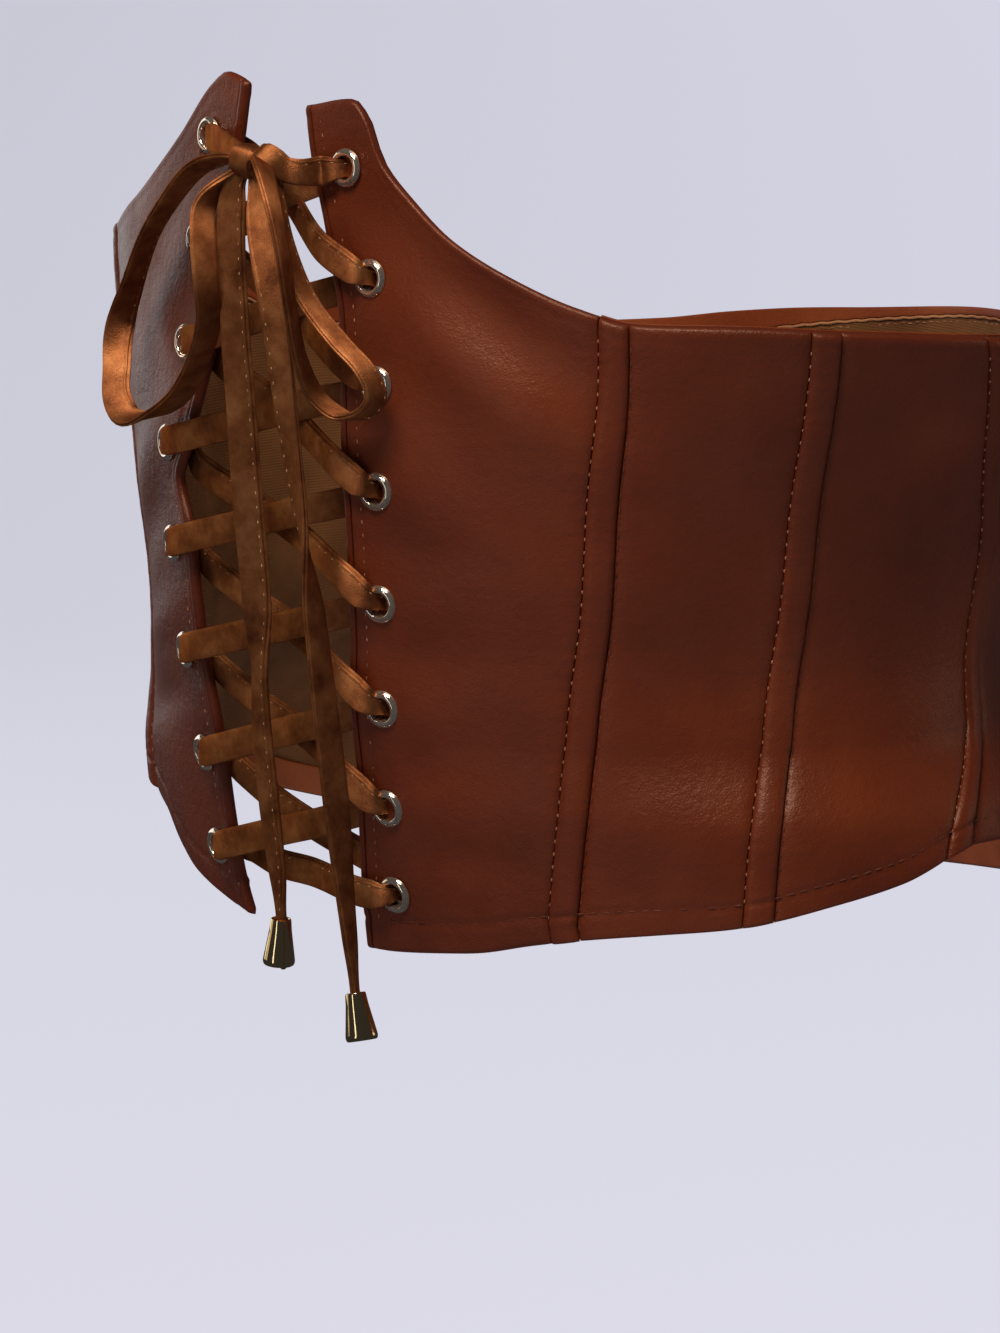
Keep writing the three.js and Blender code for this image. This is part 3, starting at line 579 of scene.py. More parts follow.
slab("back_panel_leather", "left", seam_line("left", "back", TIGHT_GAP),
     shifted(seam_line("right", "back", TIGHT_GAP), 360), LEATHER, back_relief, leather,
     "back_panel", top_roll=TOP_ROLL, rounds=(DITCH_ROUND, DITCH_ROUND))

# Bone channels
# A strip of the leather is sewn down beside each seam as a tunnel for a thin flexible bone. It
# stands proud with a soft crown, is stitched along its front side and drops into the seam's
# ditch along its rear side.
CHANNEL_RAISE = 1.0
CHANNELS = ("front", "side", "rear", "back")


def channel_relief(turn, z, front, rear, up, down):
    share = np.clip(front / (front + rear), 0, 1)
    crown = CHANNEL_RAISE * np.sqrt(np.clip(1 - (2 * share - 1) ** 2, 0, 1))
    crown *= 1 - 0.35 * np.exp(-(down / 5) ** 2)
    lift = leather_relief(turn, z, up, down) + crown
    lift += sewn_border(z, front, 0.35, 0.9, 0.08, 7.7, 2.0, 1.4)
    return lift + puckers(z, rear, 0.06, 10.3, 2.2, 0.2)


for side in SIDES:
    for seam in CHANNELS:
        slab(f"{seam}_channel_{side}_leather", side, seam_line(side, seam, -CHANNEL_WIDTH),
             seam_line(side, seam, -TIGHT_GAP), LEATHER, channel_relief, leather,
             f"{seam}_channel_{side}", top_roll=TOP_ROLL,
             rounds=(STITCHED_ROUND, DITCH_ROUND), spacing=0.6)

# Lining
# Plain tan-brown woven cloth inside the side and back panels, sewn in with the channels, whose
# stitches draw it into shallow upright seams.
LINING_OUT = -2.0
LINING = 0.7
BELOW_ROLL = 1.8
INSIDE_SPACING = 1.5


def woven_cloth(name, dark, light, thread):
    """Plain weave: threads over and under, matt, and a little uneven in colour."""
    material, tree, place = new_material(name)
    unwrap = add_node(tree, "UVMap").outputs["UV"]
    heights = []
    for turned in (0, math.pi / 2):
        laid = add_node(tree, "Mapping", {"Vector": unwrap, "Rotation": (0, 0, turned)})
        heights.append(add_node(tree, "TexWave", {
            "Vector": laid.outputs["Vector"], "Scale": 0.314 / thread, "Distortion": 0.6,
            "Detail": 2}, wave_profile="SIN").outputs["Fac"])
    weave = both(tree, "MULTIPLY", heights[0], heights[1])
    cloud = noise(tree, place, 45, 5)
    return shaded(material, {
        "Base Color": ramp(tree, cloud, [(0.32, dark), (0.68, light)]), "Roughness": 0.85,
        "Normal": bumped(tree, weave, 0.5, 0.0003), "Specular IOR Level": 0.15,
        "Sheen Weight": 0.05, "Sheen Roughness": 0.5, "Sheen Tint": colour(light)})


lining_cloth = woven_cloth("plain woven lining", 0x4C2E16, 0x6C4626, thread=0.7)


def lining_relief(turn, z, *borders):
    lift = 0.3 * np.sin(0.35 * turn + 0.02 * z) * np.sin(0.06 * z + 0.4) - 0.35
    for side in SIDES:
        for seam in CHANNELS:
            line = wrapped(seam_turn(side, seam, z, -CHANNEL_WIDTH / 2))
            away = np.abs(wrapped(turn - line)) * per_turn(turn, z)
            lift = lift - 0.35 * np.exp(-(away / (0.4 * CHANNEL_WIDTH)) ** 4)
            lift = lift + 0.35 * np.exp(-((away - CHANNEL_WIDTH / 2) / 0.6) ** 2)
    return lift


inside_start = seam_line("left", "front", -CHANNEL_WIDTH)
inside_end = shifted(seam_line("right", "front", -CHANNEL_WIDTH), 360)
slab("lining_cloth", "left", inside_start, inside_end, LINING, lining_relief, lining_cloth,
     "lining", high=shifted(top_at, -BELOW_ROLL), base=LINING_OUT,
     spacing=INSIDE_SPACING)

# Facings
# Strips of thin orange-brown leather sewn inside the top edge and the hem. Their inner border
# is cut raw, so a pale line of the leather's core shows along it.
FACING = 0.8
FACING_OUT = -3.0
TOP_FACING_HEIGHT = 5.0
HEM_FACING_HEIGHT = 8
# How far down the top facing reaches round the body, as a share of its height
TOP_FACING = table("turn reach", [
    (38, 1.1), (120, 0.7), (158, 0.4), (174, 0.5), (183, 0.66), (192, 0.9), (200, 1.08), (230, 1.2),
    (322, 1.1),
])

facing_leather = coated_leather("thin facing leather", 0x622812, 0x76381C, 0x884826, 0.6, 0.12)
raw_leather = coated_leather("raw cut leather", 0x8A5A3A, 0xA87450, 0xB88860, 0.8, 0.12)


def top_facing_low(turn):
    """The top facing's raw border, which is a little wavy."""
    reach = TOP_FACING_HEIGHT * follow(TOP_FACING, "turn", turn, "reach")
    return top_at(turn) - reach + 0.12 * np.sin(2.3 * turn)


def facing_relief(turn, z, *borders):
    return 0.12 * np.sin(0.31 * turn) + 0.05 * np.sin(0.83 * turn + 0.1 * z)


# Name, node, thickness, material, and the lines at the strip's lower and upper border
FACING_STRIPS = [
    ("top_facing_strip", "top_facing", FACING, facing_leather,
     top_facing_low, shifted(top_at, 0.1)),
    ("hem_facing_strip", "hem_facing", FACING, facing_leather,
     shifted(hem_at, 0.6), shifted(hem_at, HEM_FACING_HEIGHT)),
    ("top_facing_raw_border", None, FACING * 0.7, raw_leather,
     shifted(top_facing_low, -0.7), shifted(top_facing_low, 0.1)),
]
for name, node, thick, material, low, high in FACING_STRIPS:
    slab(name, "left", inside_start, inside_end, thick, facing_relief, material,
         node, low=low, high=high, base=FACING_OUT, spacing=INSIDE_SPACING)

# Stitches in the leather
# A row of brown thread runs along each front edge, each channel's front side and the lining's top,
# and a matching one in each ditch and along the hem. The first rows are painted paler than their
# thread: a painted highlight that stands for the glints on the stitches' crowns. Each stitch shows
# as a short bead of thread.
STITCH_PITCH = 3.2
THREAD_RADIUS = 0.21
ROW_SPACING = 0.8
HEM_AT_OPENING = -45


def sewing_thread(name, light, dark):
    """Polyester thread, tightly twisted, with a faint shine."""
    material, tree, place = new_material(name)
    cloud = noise(tree, place, 160, 3)
    twist = noise(tree, place, 4000, 2)
    return shaded(material, {
        "Base Color": ramp(tree, cloud, [(0.35, dark), (0.65, light)]), "Roughness": 0.6,
        "Normal": bumped(tree, twist, 0.4, 0.0001), "Specular IOR Level": 0.2})


# Painted highlight: this thread is painted paler than its real brown, standing in for the glints on
# the stitches' crowns.
glint_painted_thread = sewing_thread("brown thread painted pale for glints", 0x9C6C50, 0x6E4430)
matching_thread = sewing_thread("matching brown thread", 0x663420, 0x481E10)


def one_stitch(bm, middle, along, up, long, radius):
    """A bead of thread that lies along its row and is pressed a little flat."""
    along = along.normalized()
    up = (up - along * up.dot(along)).normalized()
    side_way = along.cross(up)
    turned = Matrix((along * long / 2, side_way * radius, up * radius * 0.8)).transposed().to_4x4()
    turned.translation = middle
    bmesh.ops.create_uvsphere(bm, u_segments=6, v_segments=4, radius=1, matrix=turned)


def stitch_row(bm, points, normals, pitch, long, radius=THREAD_RADIUS):
    """Stitches at an even pitch along a row of points."""
    gone = run_along(points)
    for at in np.arange(0.5 * pitch, gone[-1], pitch):
        middle, up = Vector(at_run(at, gone, points)), Vector(at_run(at, gone, normals))
        ahead, behind = (Vector(at_run(at + way, gone, points)) for way in (0.6, -0.6))
        one_stitch(bm, middle, ahead - behind, up, long, radius)


def sewn(bm, name, material):
    smoothed(bm)
    return finish_mesh(bm, name, material)


def upright_row(line, out, clear_hem, clear_top):
    """Points of a row that runs up a line, from the hem to the top edge."""
    one = np.zeros(1)
    low, high = (float(meet(lambda z: line(z) + one, limit, one)[0]) for limit in (hem_at, top_at))
    z = np.arange(low + clear_hem, high - clear_top, ROW_SPACING)
    turn = line(z)
    return off(turn, z, fold_relief(turn, z) + out), outward(turn, z)


for side in SIDES:
    # Name, thread, lines, distance out, distances clear of the hem and the top, stitch length
    for name, thread, lines, out, clear_hem, clear_top, long in (
            ("front_edge", glint_painted_thread, [edge_line(side, FRONT_STITCH)], -0.2, 7.5, 2.5, 1.1),
            ("channel", glint_painted_thread, [seam_line(side, seam, -CHANNEL_WIDTH) for seam in CHANNELS],
             -0.25, 5.0, 3.0, 1.0),
            ("ditch", matching_thread, [seam_line(side, seam, 0.5) for seam in CHANNELS],
             -0.55, 1.5, 3.0, 1.6)):
        rows = bmesh.new()
        for line in lines:
            stitch_row(rows, *upright_row(line, out, clear_hem, clear_top), STITCH_PITCH, long)
        sewn(rows, f"{name}_stitches_{side}", thread)

rows = bmesh.new()
hem_start = float(edge_turn("left", HEM_AT_OPENING, FRONT_STITCH))
hem_end = 360 + float(edge_turn("right", HEM_AT_OPENING, FRONT_STITCH))
hem_turns = np.arange(hem_start, hem_end, 0.3)
hem_heights = hem_at(hem_turns) + hem_stitch(hem_turns)
stitch_row(rows, off(hem_turns, hem_heights, fold_relief(hem_turns, hem_heights) - 0.27),
           outward(hem_turns, hem_heights), STITCH_PITCH, 2.4)
sewn(rows, "hem_stitches", matching_thread)

rows = bmesh.new()
inner_turns = np.arange(45.0, 316.0, 0.3)
inner_heights = top_facing_low(inner_turns) - 1.7
stitch_row(rows, off(inner_turns, inner_heights, LINING_OUT - LINING - 0.35 + 0 * inner_turns),
           -outward(inner_turns, inner_heights), 3.0, 1.9)
sewn(rows, "lining_stitches", glint_painted_thread)

# Eyelets
# Domed nickel eyelets, pressed through the panels and closed over a flat washer inside. They
# are highly polished, so they show mostly what they reflect, with a slightly warm tint.
EYELET_STEPS = 48
EYELET_PROFILE = [
    (2.85, 0.30), (2.90, 0.75), (3.08, 1.08), (3.40, 1.24), (3.78, 1.18), (4.15, 0.95),
    (4.45, 0.60), (4.62, 0.28), (4.65, 0.10), (4.45, 0.02), (3.45, 0.02), (3.20, -0.15),
    (3.20, -2.85), (4.05, -2.90), (4.20, -3.08), (4.15, -3.35), (3.85, -3.55), (3.25, -3.60),
    (2.95, -3.45), (2.85, -3.15),
]


def polished_metal(name, tint, roughness, metallic=1.0):
    """Polished plating: smooth, with a faint haze of fine handling marks."""
    material, tree, place = new_material(name)
    haze = noise(tree, place, 260, 4)
    wave = noise(tree, place, 900, 2)
    return shaded(material, {
        "Base Color": colour(tint), "Metallic": metallic,
        "Roughness": spread(tree, haze, 0.3, 0.75, roughness * 0.7, roughness * 1.3),
        "Normal": bumped(tree, wave, 0.05, 0.0002)})


def turned_ring(bm, profile, steps):
    """A closed profile of radius and height, spun round Z into a ring."""
    verts = [bm.verts.new((radius, 0, height)) for radius, height in profile]
    edges = [bm.edges.new((verts[i - 1], verts[i])) for i in range(len(verts))]
    bmesh.ops.spin(bm, geom=verts + edges, cent=(0, 0, 0), axis=(0, 0, 1),
                   angle=math.tau, steps=steps, use_merge=True)
    bmesh.ops.remove_doubles(bm, verts=bm.verts, dist=0.0005)
    bmesh.ops.recalc_face_normals(bm, faces=bm.faces)
    smoothed(bm)


def set_on(bm, point, axis):
    """Turns a mesh made along +Z to an axis and moves it to a point."""
    turned = Vector((0, 0, 1)).rotation_difference(Vector(axis)).to_matrix().to_4x4()
    bmesh.ops.transform(bm, matrix=Matrix.Translation(Vector(point)) @ turned, verts=bm.verts)


nickel = polished_metal("warm polished nickel", 0xF4E6D2, 0.08, 0.94)
for side in SIDES:
    for i, place in enumerate(eyelet_places[side]):
        bm = bmesh.new()
        turned_ring(bm, EYELET_PROFILE, EYELET_STEPS)
        set_on(bm, place["point"], place["normal"])
        node = f"eyelet_{side}_{i + 1}"
        finish_mesh(bm, node + "_metal", nickel, node, sharp=40)

# Lacing
# One long flat lace of soft satin, folded double and stitched near one border. Its two halves
# run from the knot down through the eyelets, in front from side to side, and cross the opening.
LACE_WIDTH = 7.3
LACE_THICKNESS = 1.7
LACE_SPACING = 1.1
LACE_STITCH_PITCH = 3.5
LACE_STITCH_ACROSS = 0.29
# The folded section, in shares of its width and thickness, with its second layer's ledge
LACE_SECTION = [
    (0.50, 0.00), (0.485, 0.09), (0.43, 0.12), (0.40, 0.15), (0.395, 0.40), (0.37, 0.48),
    (0.33, 0.45), (0.29, 0.39), (0.25, 0.44), (0.18, 0.49), (0.00, 0.51), (-0.25, 0.49),
    (-0.43, 0.46), (-0.485, 0.37), (-0.50, 0.20), (-0.48, 0.06), (-0.44, 0.00), (-0.48, -0.06),
    (-0.50, -0.20), (-0.485, -0.38), (-0.42, -0.46), (-0.20, -0.49), (0.10, -0.50), (0.34, -0.48),
    (0.46, -0.42), (0.49, -0.25),
]
FORWARD = np.array((0.0, -1.0, 0.0))


def satin(name, dark, middle, light):
    """Soft satin: its threads run along the lace, so it shines where the lace lies across the
    light and is dark where it lies toward it. The brown is a little mottled."""
    material, tree, place = new_material(name)
    unwrap = add_node(tree, "UVMap").outputs["UV"]
    cloud = noise(tree, place, 130, 5, 0.65)
    drawn = add_node(tree, "Mapping", {"Vector": unwrap, "Scale": (2.4, 0.5, 1.0)})
    fibre = noise(tree, drawn.outputs["Vector"], 2.2, 5, 0.7)
    height = both(tree, "ADD", fibre, noise(tree, place, 2600, 2))
    over = add_node(tree, "Tangent", direction_type="UV_MAP").outputs["Tangent"]
    return shaded(material, {
        "Base Color": ramp(tree, cloud, [(0.3, dark), (0.5, middle), (0.7, light)]),
        "Roughness": 0.54, "Normal": bumped(tree, height, 0.35, 0.00025), "Metallic": 0.85,
        "Tangent": over, "Anisotropic": 0.78, "Specular IOR Level": 0.25,
        "Specular Tint": colour(0xE0A070)})


lace_satin = satin("brown satin lace", 0x6C3E26, 0x925A36, 0xB0764A)
lace_thread = sewing_thread("pale lace thread", 0xA88058, 0x80583A)


def through(points, spacing):
    """A smooth curve through unevenly spaced points, resampled at an even spacing. It returns the
    curve and, for each of its points, how many of the given points lie behind it."""
    known = np.asarray(points, float)
    known = np.vstack((2 * known[0] - known[1], known, 2 * known[-1] - known[-2]))
    steps = np.linalg.norm(np.diff(known, axis=0), axis=1) ** 0.5
    t = np.linspace(0, 1, 24, endpoint=False)[:, None]
    stretches, places = [], []
    for i in range(1, len(known) - 2):
        before, here, ahead = steps[i - 1:i + 2]
        gaps = np.diff(known[i - 1:i + 3], axis=0)
        leaving = here * (gaps[0] / before - (gaps[0] + gaps[1]) / (before + here) + gaps[1] / here)
        arriving = here * (gaps[1] / here - (gaps[1] + gaps[2]) / (here + ahead) + gaps[2] / ahead)
        stretches.append(bend(t, known[i], known[i + 1], leaving, arriving))
        places.append(i - 1 + t[:, 0])
    curve = np.vstack([*stretches, known[-2:-1]])
    place = np.concatenate([*places, [len(known) - 3]])
    gone = run_along(curve)
    even = np.linspace(0, gone[-1], max(2, round(gone[-1] / spacing)) + 1)
    return at_run(even, gone, curve), np.interp(even, gone, place)


def eased(values, reach=4):
    """Values along a lace with their corners rounded off."""
    padded = np.pad(values, reach, mode="edge")
    return np.convolve(padded, np.ones(2 * reach + 1) / (2 * reach + 1), mode="valid")


def lay_lace(bm, line, across, width, thick, ledge=1, face=1):
    """Lays the folded section along a line and closes its ends. ledge says on which border the
    second layer ends, and face on which of the two flat sides it shows."""
    tangent = unit(np.gradient(line, axis=0))
    across = unit(across - tangent * np.sum(across * tangent, axis=1, keepdims=True))
    normal = np.cross(across, tangent)
    ring = np.array(LACE_SECTION + LACE_SECTION[:1])[None, :, :]
    wide, high = (LACE_WIDTH * width)[:, None, None], (LACE_THICKNESS * thick)[:, None, None]
    beside = ledge * ring[..., :1] * wide * across[:, None, :]
    over = face * ring[..., 1:] * high * normal[:, None, :]
    girth = run_along(ring[0] * (LACE_WIDTH, LACE_THICKNESS))
    flat = np.stack(np.broadcast_arrays(girth[None, :], run_along(line)[:, None]), axis=-1)
    laid_grid(bm, line[:, None, :] + beside + over, flat)
    bmesh.ops.remove_doubles(bm, verts=bm.verts, dist=0.0005)
    bmesh.ops.holes_fill(bm, edges=[edge for edge in bm.edges if edge.is_boundary], sides=0)
    bmesh.ops.recalc_face_normals(bm, faces=bm.faces)
    return across * ledge, normal * face


def lace_stitches(line, across, normal, width, thick, name):
    """The row of pale stitches beside the ledge of the lace's second layer."""
    rows = bmesh.new()
    seam = line + across * (LACE_STITCH_ACROSS * LACE_WIDTH * width)[:, None]
    seam = seam + normal * (0.41 * LACE_THICKNESS * thick)[:, None]
    stitch_row(rows, seam, normal, LACE_STITCH_PITCH, 0.85, radius=0.17)
    return sewn(rows, name, lace_thread)


# The crossing of the opening: its distance over or under the front edges, the shares of its
# ends' x and of its fall at which it bends, and its distance behind the line of the edges
OVER_EDGE = 2.1
UNDER_EDGE = -4.8
LEAVING = 0.42
ARRIVING = 0.12
CROSS_FRONT = 0.6
CROSS_MIDDLE = -1.5
CROSS_BEHIND = -3.6
LEAVE_SHARE = 0.15
ARRIVE_SHARE = {"left": 0.77, "right": 0.87}
# How the lace dives from the side that it comes from, through the eyelet, to where it goes on:
# distance from the eyelet's axis toward that side, height, and shares of width and thickness
DIVE = table("from out wide thick", [
    (5.65, 2.35, 1.0, 1.0), (3.8, 2.3, 0.90, 0.95), (2.1, 1.55, 0.70, 0.85), (1.2, 0.1, 0.56, 0.8),
])
SURFACE = table("from out wide thick", [
    (0.6, -2.6, 0.52, 0.8), (1.8, -4.3, 0.60, 0.85), (5.65, -4.8, 1.0, 1.0),
])


def toward(place, other):
    """The direction along the leather from an eyelet to another point."""
    line = np.asarray(other) - place["point"]
    return unit(line - place["normal"] * np.dot(line, place["normal"]))


def stop(at, wide=1.0, thick=1.0, tip=0):
    return {"at": np.array(at), "wide": wide, "thick": thick, "tip": tip}


def at_eyelet(place, direction, rows):
    return [stop(place["point"] + direction * row["from"] + place["normal"] * row["out"],
                 row["wide"], row["thick"]) for row in rows]


def opening_front(z):
    return (skin(edge_turn("left", z, 0), z)[1] + skin(edge_turn("right", z, 0), z)[1]) / 2


def crossing(start, start_side, end, end_side, out, end_out=OVER_EDGE):
    """From under one front edge, across the opening, to the other front edge."""
    leave_z = start["z"] + (end["z"] - start["z"]) * LEAVE_SHARE
    arrive_z = start["z"] + (end["z"] - start["z"]) * ARRIVE_SHARE[end_side]
    leave = off(edge_turn(start_side, leave_z, 0), leave_z, UNDER_EDGE)
    arrive = off(edge_turn(end_side, arrive_z, 0), arrive_z, end_out)
    points = [leave]
    for x in (LEAVING * leave[0], ARRIVING * arrive[0]):
        z = leave_z + (arrive_z - leave_z) * (x - leave[0]) / (arrive[0] - leave[0])
        points.append((x, opening_front(z) - out, z))
    return [stop(point) for point in points + [arrive]]


def lacing_half(first_side, starts):
    places = [stop(start[:3], wide=0.85, tip=start[3]) for start in starts]
    side = first_side
    last = len(EYELETS) - 1
    for row in range(last + 1):
        other = "right" if side == "left" else "left"
        here = eyelet_places[side][row]
        ahead = eyelet_places[other][min(row + 1, last)]
        places += at_eyelet(here, toward(here, places[-1]["at"]), DIVE)
        places += at_eyelet(here, toward(here, ahead["point"]), SURFACE)
        out = CROSS_FRONT if other == "right" else CROSS_BEHIND
        if row + 1 == last and first_side == "right":
            return places + crossing(here, side, ahead, other, out, UNDER_EDGE)
        if row == last:
            places += crossing(here, side, ahead, other, CROSS_MIDDLE)
            places += at_eyelet(ahead, toward(ahead, places[-1]["at"]), DIVE)
            return places + at_eyelet(ahead, toward(ahead, here["point"]), SURFACE[:1])
        places += crossing(here, side, ahead, other, out)
        side = other


# The last value tips the lace's upper border back, as where it bends over the knot's left side
LACING_STARTS = {
    "left": [(9, -113.5, 143.8, 50), (12, -116, 146, 55), (14.6, -116.4, 146.8, 55),
             (17, -115, 145.4, 45), (18.8, -113, 143, 25), (21, -110, 142.2, 5)],
    "right": [(4, -112.5, 144.3, 0), (-1.5, -111.2, 145.2, 0), (-9, -109, 146.8, 0)],
}
for side, starts in LACING_STARTS.items():
    places = lacing_half(side, starts)
    line, place = through([row["at"] for row in places], LACE_SPACING)
    wide, thick, tip = (np.interp(place, np.arange(len(places)), [row[key] for row in places])
                        for key in ("wide", "thick", "tip"))
    width, thick, tip = eased(wide, 1), eased(thick, 1), np.radians(eased(tip))
    across = np.stack((0 * tip, np.sin(tip), np.cos(tip)), axis=1)
    bm = bmesh.new()
    across, normal = lay_lace(bm, line, across, width, thick, 1, -1)
    finish_mesh(bm, f"lacing_{side}_lace", lace_satin, f"lacing_{side}")
    lace_stitches(line, across, normal, width, thick, f"lacing_stitches_{side}")

# Knot
# The lace's two ends are tied once and drawn tight, so that a flat wrap of the lace stands
# upright in front, with the edges of a second turn at its side.
KNOT = (6.5, -112.5, 143.6)
KNOT_CORE = (5.0, 2.2, 2.6)
WRAP_STEPS = 40
WRAPS = table("x lean depth height from to wide", [
    (-1.3, 7, 3.3, 3.2, -150, 190, 0.95), (0.9, 3, 2.9, 2.8, -170, 170, 0.86),
    (2.4, -5, 2.5, 2.4, -160, 170, 0.8),
])

knot_mesh = bmesh.new()
core = Matrix.Translation(KNOT) @ Matrix.Diagonal((*KNOT_CORE, 1))
bmesh.ops.create_uvsphere(knot_mesh, u_segments=24, v_segments=14, radius=1, matrix=core)
smoothed(knot_mesh)
for wrap in WRAPS:
    around = np.radians(np.linspace(wrap["from"], wrap["to"], WRAP_STEPS))
    grown = 1 + 0.06 * np.linspace(0, 1, WRAP_STEPS)
    tilt = math.radians(wrap["lean"])
    height = wrap["height"] * grown * np.sin(around)
    front = np.sign(np.cos(around)) * np.abs(np.cos(around)) ** 0.6
    line = np.stack((KNOT[0] + wrap["x"] + height * math.sin(tilt),
                     KNOT[1] - wrap["depth"] * grown * front,
                     KNOT[2] + height * math.cos(tilt)), axis=1)
    across = np.tile((math.cos(tilt), 0, -math.sin(tilt)), (WRAP_STEPS, 1))
    turn_mesh = bmesh.new()
    wide, thick = np.full(WRAP_STEPS, wrap["wide"]), np.full(WRAP_STEPS, 0.8)
    lay_lace(turn_mesh, line, across, wide, thick, 1, -1)
    turn_data = bpy.data.meshes.new("wrap")
    turn_mesh.to_mesh(turn_data)
    turn_mesh.free()
    knot_mesh.from_mesh(turn_data)
    bpy.data.meshes.remove(turn_data)
finish_mesh(knot_mesh, "knot_wraps", lace_satin, "knot")

# Bow and hanging ends
# The bow's two loops and the lace's two ends hang from the knot by their own weight and turn
# slowly as they fall. Roll 0 shows the flat side to the front and roll 90 shows the thin side.
GATHER_LENGTH = 12
GATHERED = 0.5
BOW_RIGHT = [
    (4, -113.2, 144.2, 70), (-1.4, -114.5, 144.2, 70), (-14, -113.5, 140.5, 78),
    (-27, -111, 132.5, 90), (-40.5, -108, 121.5, 98), (-50.5, -105.5, 109, 94),
    (-57.5, -103, 101.5, 78), (-57.5, -104.8, 95.5, 52), (-54.6, -107.5, 88.5, 36),
    (-50.2, -110.9, 81.5, 34), (-45.7, -111.3, 77.5, 60), (-39.7, -108.8, 78, 90),
    (-28, -109.2, 83.6, 96), (-11.7, -115.3, 95.2, 84), (0.5, -121.8, 106.3, 84),
    (2, -123.5, 114.7, 88), (-0.8, -122.3, 125, 86), (-3.3, -119.6, 133, 80),
    (-1, -115.5, 139, 75), (3.5, -113.2, 142.8, 70),
]
BOW_LEFT = [
    (9, -113.2, 146, 95), (14.6, -114.5, 145, 100), (18, -115.5, 138, 104), (22, -115.5, 126, 104),
    (28, -113.5, 113, 102), (37, -111, 103.5, 95), (44.5, -109, 97, 97), (47, -108, 91, 104),
    (44, -109, 87, 80), (38.5, -111.5, 86, 90), (33, -115, 90.5, 68), (31.5, -118.5, 99, 56),
    (31.5, -121.5, 112, 55), (29.5, -122.5, 126, 58), (24, -121.5, 138, 62),
    (17.5, -118.5, 144, 65), (11, -114.6, 144.6, 65),
]
TAIL_RIGHT = [
    (4.5, -113, 143.2, 25), (2, -114.5, 138.5, 25), (2.2, -116, 130, 25), (4.7, -117, 104, 30),
    (6.7, -117, 87, 35), (9.2, -117, 63, 45), (11.2, -116, 39, 35), (11.2, -115.3, 24, -15),
    (10.7, -114.5, 12, -10), (12.2, -113.5, -9, -2), (14.5, -112.5, -29, -12),
    (15, -112, -37.8, -15),
]
TAIL_LEFT = [
    (7.5, -113, 143, 10), (8.5, -113.5, 138.8, 10), (15, -117.5, 127.5, 20), (22, -119.5, 112, 24),
    (27.3, -119, 82, 3), (31.2, -118, 60, -22), (34, -117, 41, -75), (37, -116, 18, -87),
    (40, -115, -6, -93), (42.2, -114, -29, -67), (44, -113.5, -44, -55), (45, -113.5, -51, -55),
]
AGLET_LENGTH = 11.5
# Node, route, and the border on which the second layer ends
FREE_LACES = [("bow_loop_right", BOW_RIGHT, -1), ("bow_loop_left", BOW_LEFT, -1),
              ("lace_tail_right", TAIL_RIGHT, -1), ("lace_tail_left", TAIL_LEFT, 1)]
BELL_AXES = {"right": unit(np.array((-1.0, 0.0, -11.0))), "left": unit(np.array((2.6, 0.0, -11.0)))}
INTO_BELL = 2.4
AGLET_PROFILE = [
    (1.75, 4.5), (1.80, 0.6), (1.95, 0.15), (2.15, 0.00), (2.38, 0.08), (2.50, 0.35),
    (2.75, 2.90), (3.32, 6.60), (3.84, 9.90), (3.90, 10.45), (3.84, 10.95), (3.66, 11.35),
    (3.42, 11.50), (3.18, 11.35), (3.08, 10.90), (2.72, 8.00),
]

pale_gold = polished_metal("pale polished gold", 0xE6CE9C, 0.10)


def laid(route):
    """The sections of a free lace: its line, the direction across it and its width."""
    line, place = through([point[:3] for point in route], LACE_SPACING)
    rolls = np.radians(np.interp(place, np.arange(len(route)), [point[3] for point in route]))
    rolls = eased(rolls)[:, None]
    tangent = unit(np.gradient(line, axis=0))
    flat = unit(np.cross(tangent, FORWARD))
    across = flat * np.cos(rolls) + np.cross(flat, tangent) * np.sin(rolls)
    run = LACE_SPACING * np.arange(len(line))
    near_end = np.clip(np.minimum(run, run[-1] - run) / GATHER_LENGTH, 0, 1)
    width = GATHERED + (1 - GATHERED) * near_end ** 2 * (3 - 2 * near_end)
    return line, across, width


for node, route, ledge in FREE_LACES:
    line, across, width = laid(route)
    side = node.split("_")[-1]
    axis = BELL_AXES[side]
    in_bell = node.startswith("lace_tail")
    if in_bell:
        line = np.vstack((line, line[-1] + axis * INTO_BELL))
        across = np.vstack((across, across[-1:]))
        width = np.append(width, width[-1])
    thick = np.ones(len(line))
    bm = bmesh.new()
    across, normal = lay_lace(bm, line, across, width, thick, ledge)
    strand = finish_mesh(bm, node + "_lace", lace_satin, node)
    with_pieces = [lace_stitches(line, across, normal, width, thick, node + "_stitches")]
    if in_bell:
        bm = bmesh.new()
        turned_ring(bm, AGLET_PROFILE, 64)
        set_on(bm, np.array(route[-1][:3]) + axis * 0.6, axis)
        with_pieces.append(finish_mesh(bm, f"aglet_{side}_bell", pale_gold,
                                       f"aglet_{side}", sharp=40))

# The end of the lace, knotted inside the right bell, shows a little below its mouth
bm = bmesh.new()
axis = BELL_AXES["right"]
stub = np.array(TAIL_RIGHT[-1][:3]) + axis * (AGLET_LENGTH - 0.2) + np.array((1.2, 0.4, 0))
bmesh.ops.create_uvsphere(bm, u_segments=20, v_segments=12, radius=1)
bmesh.ops.scale(bm, vec=(1.5, 1.1, 2.0), verts=bm.verts)
set_on(bm, stub, axis)
sewn(bm, "lace_end_right", lace_satin)

# Floor and lights
# One pale floor runs far back, so that it is the whole background, as in the photograph. Soft
# boxes stand above the front, at both sides, behind and overhead, with a narrow strip in front
# that draws the upright glints in the metal.
FLOOR_DROP = 0.28

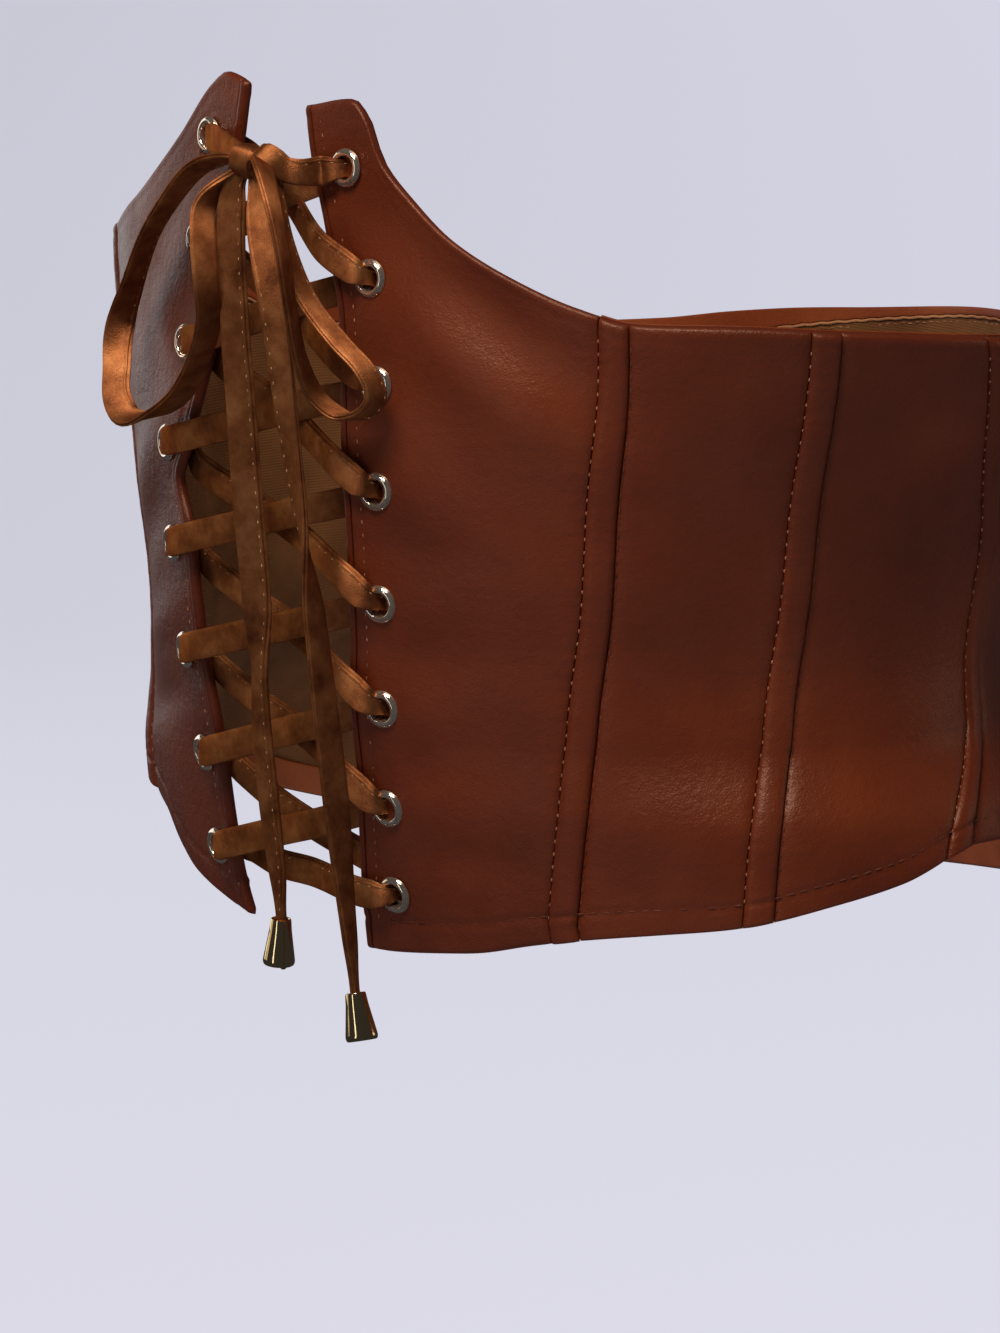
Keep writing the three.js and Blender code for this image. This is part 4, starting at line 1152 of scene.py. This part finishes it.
material, tree, place = new_material("glowing pale lavender paper")
# The floor glows though it is no lamp: painted light, which also lights the belt from below. The
# glow is painted a little brighter toward the camera's right.
painted_glow_across = add_node(tree, "VectorMath", {0: place, 1: (0.6428, 0.766, 0)},
                    operation="DOT_PRODUCT").outputs["Value"]
shaded(material, {
    "Base Color": colour(0x6C6C74), "Roughness": 0.9, "Emission Color": colour(0xD6D6E4),
    "Emission Strength": spread(tree, painted_glow_across, -0.5, 0.5, 0.86, 0.96)})
bm = bmesh.new()
bmesh.ops.create_grid(bm, x_segments=8, y_segments=8, size=20,
                      matrix=Matrix.Translation((0, 0, -0.05 - FLOOR_DROP)))
floor_mesh = bpy.data.meshes.new("floor")
bm.to_mesh(floor_mesh)
bm.free()
floor_mesh.materials.append(material)
floor = placed("floor", floor_mesh)
floor.visible_glossy = False


def soft_box(name, azimuth, elevation, distance, size, power, tint=0xFFFFFF):
    """An area light aimed at the belt, placed by its direction from it."""
    turn, rise = math.radians(azimuth), math.radians(elevation)
    aim = Vector((0, 0, 0.05))
    level = math.cos(rise)
    way = Vector((math.sin(turn) * level, -math.cos(turn) * level, math.sin(rise)))
    light = bpy.data.lights.new(name, "AREA")
    light.shape = "RECTANGLE"
    light.size, light.size_y = size
    light.energy = power
    light.color = colour(tint)[:3]
    lamp = placed(name, light)
    lamp.location = aim + way * distance
    lamp.rotation_euler = way.to_track_quat("Z", "Y").to_euler()


soft_box("key box", 25, 56, 1.7, (0.8, 0.6), 31, 0xFFF0E0)
soft_box("back box", 148, 12, 1.8, (0.6, 1.1), 2.2, 0xFFE0C8)
soft_box("front strip", 8, 6, 1.8, (0.22, 1.4), 1.8)
soft_box("far box", -92, 8, 1.8, (1.7, 1.0), 6)
soft_box("overhead box", 60, 82, 1.8, (1.2, 1.2), 2.5, 0xFFE8D4)
soft_box("left box", -52, 8, 1.7, (0.6, 0.9), 1.1, 0xFFE8C8)

world = bpy.data.worlds.new("studio")
world.use_nodes = True
world.node_tree.nodes.clear()
sky = add_node(world.node_tree, "Background", {"Color": colour(0xDDDDEA), "Strength": 0.045})
add_node(world.node_tree, "OutputWorld", {"Surface": sky.outputs["Background"]})
bpy.context.scene.world = world
bpy.context.scene.view_settings.view_transform = "Standard"

# Camera
# A long lens at the front left, a little above the belt, framed as the photograph is.
camera_data = bpy.data.cameras.new("camera")
camera_data.sensor_fit = "VERTICAL"
camera_data.sensor_height = 36
camera_data.lens = 205.25
camera_data.clip_end = 100
camera = placed("camera", camera_data)
camera.matrix_world = Matrix((
    (0.6428, -0.1264, 0.7555, 1.4242),
    (0.7660, 0.1061, -0.6340, -1.2258),
    (0.0, 0.9863, 0.1650, 0.3235),
    (0.0, 0.0, 0.0, 1.0),
))
bpy.context.scene.camera = camera
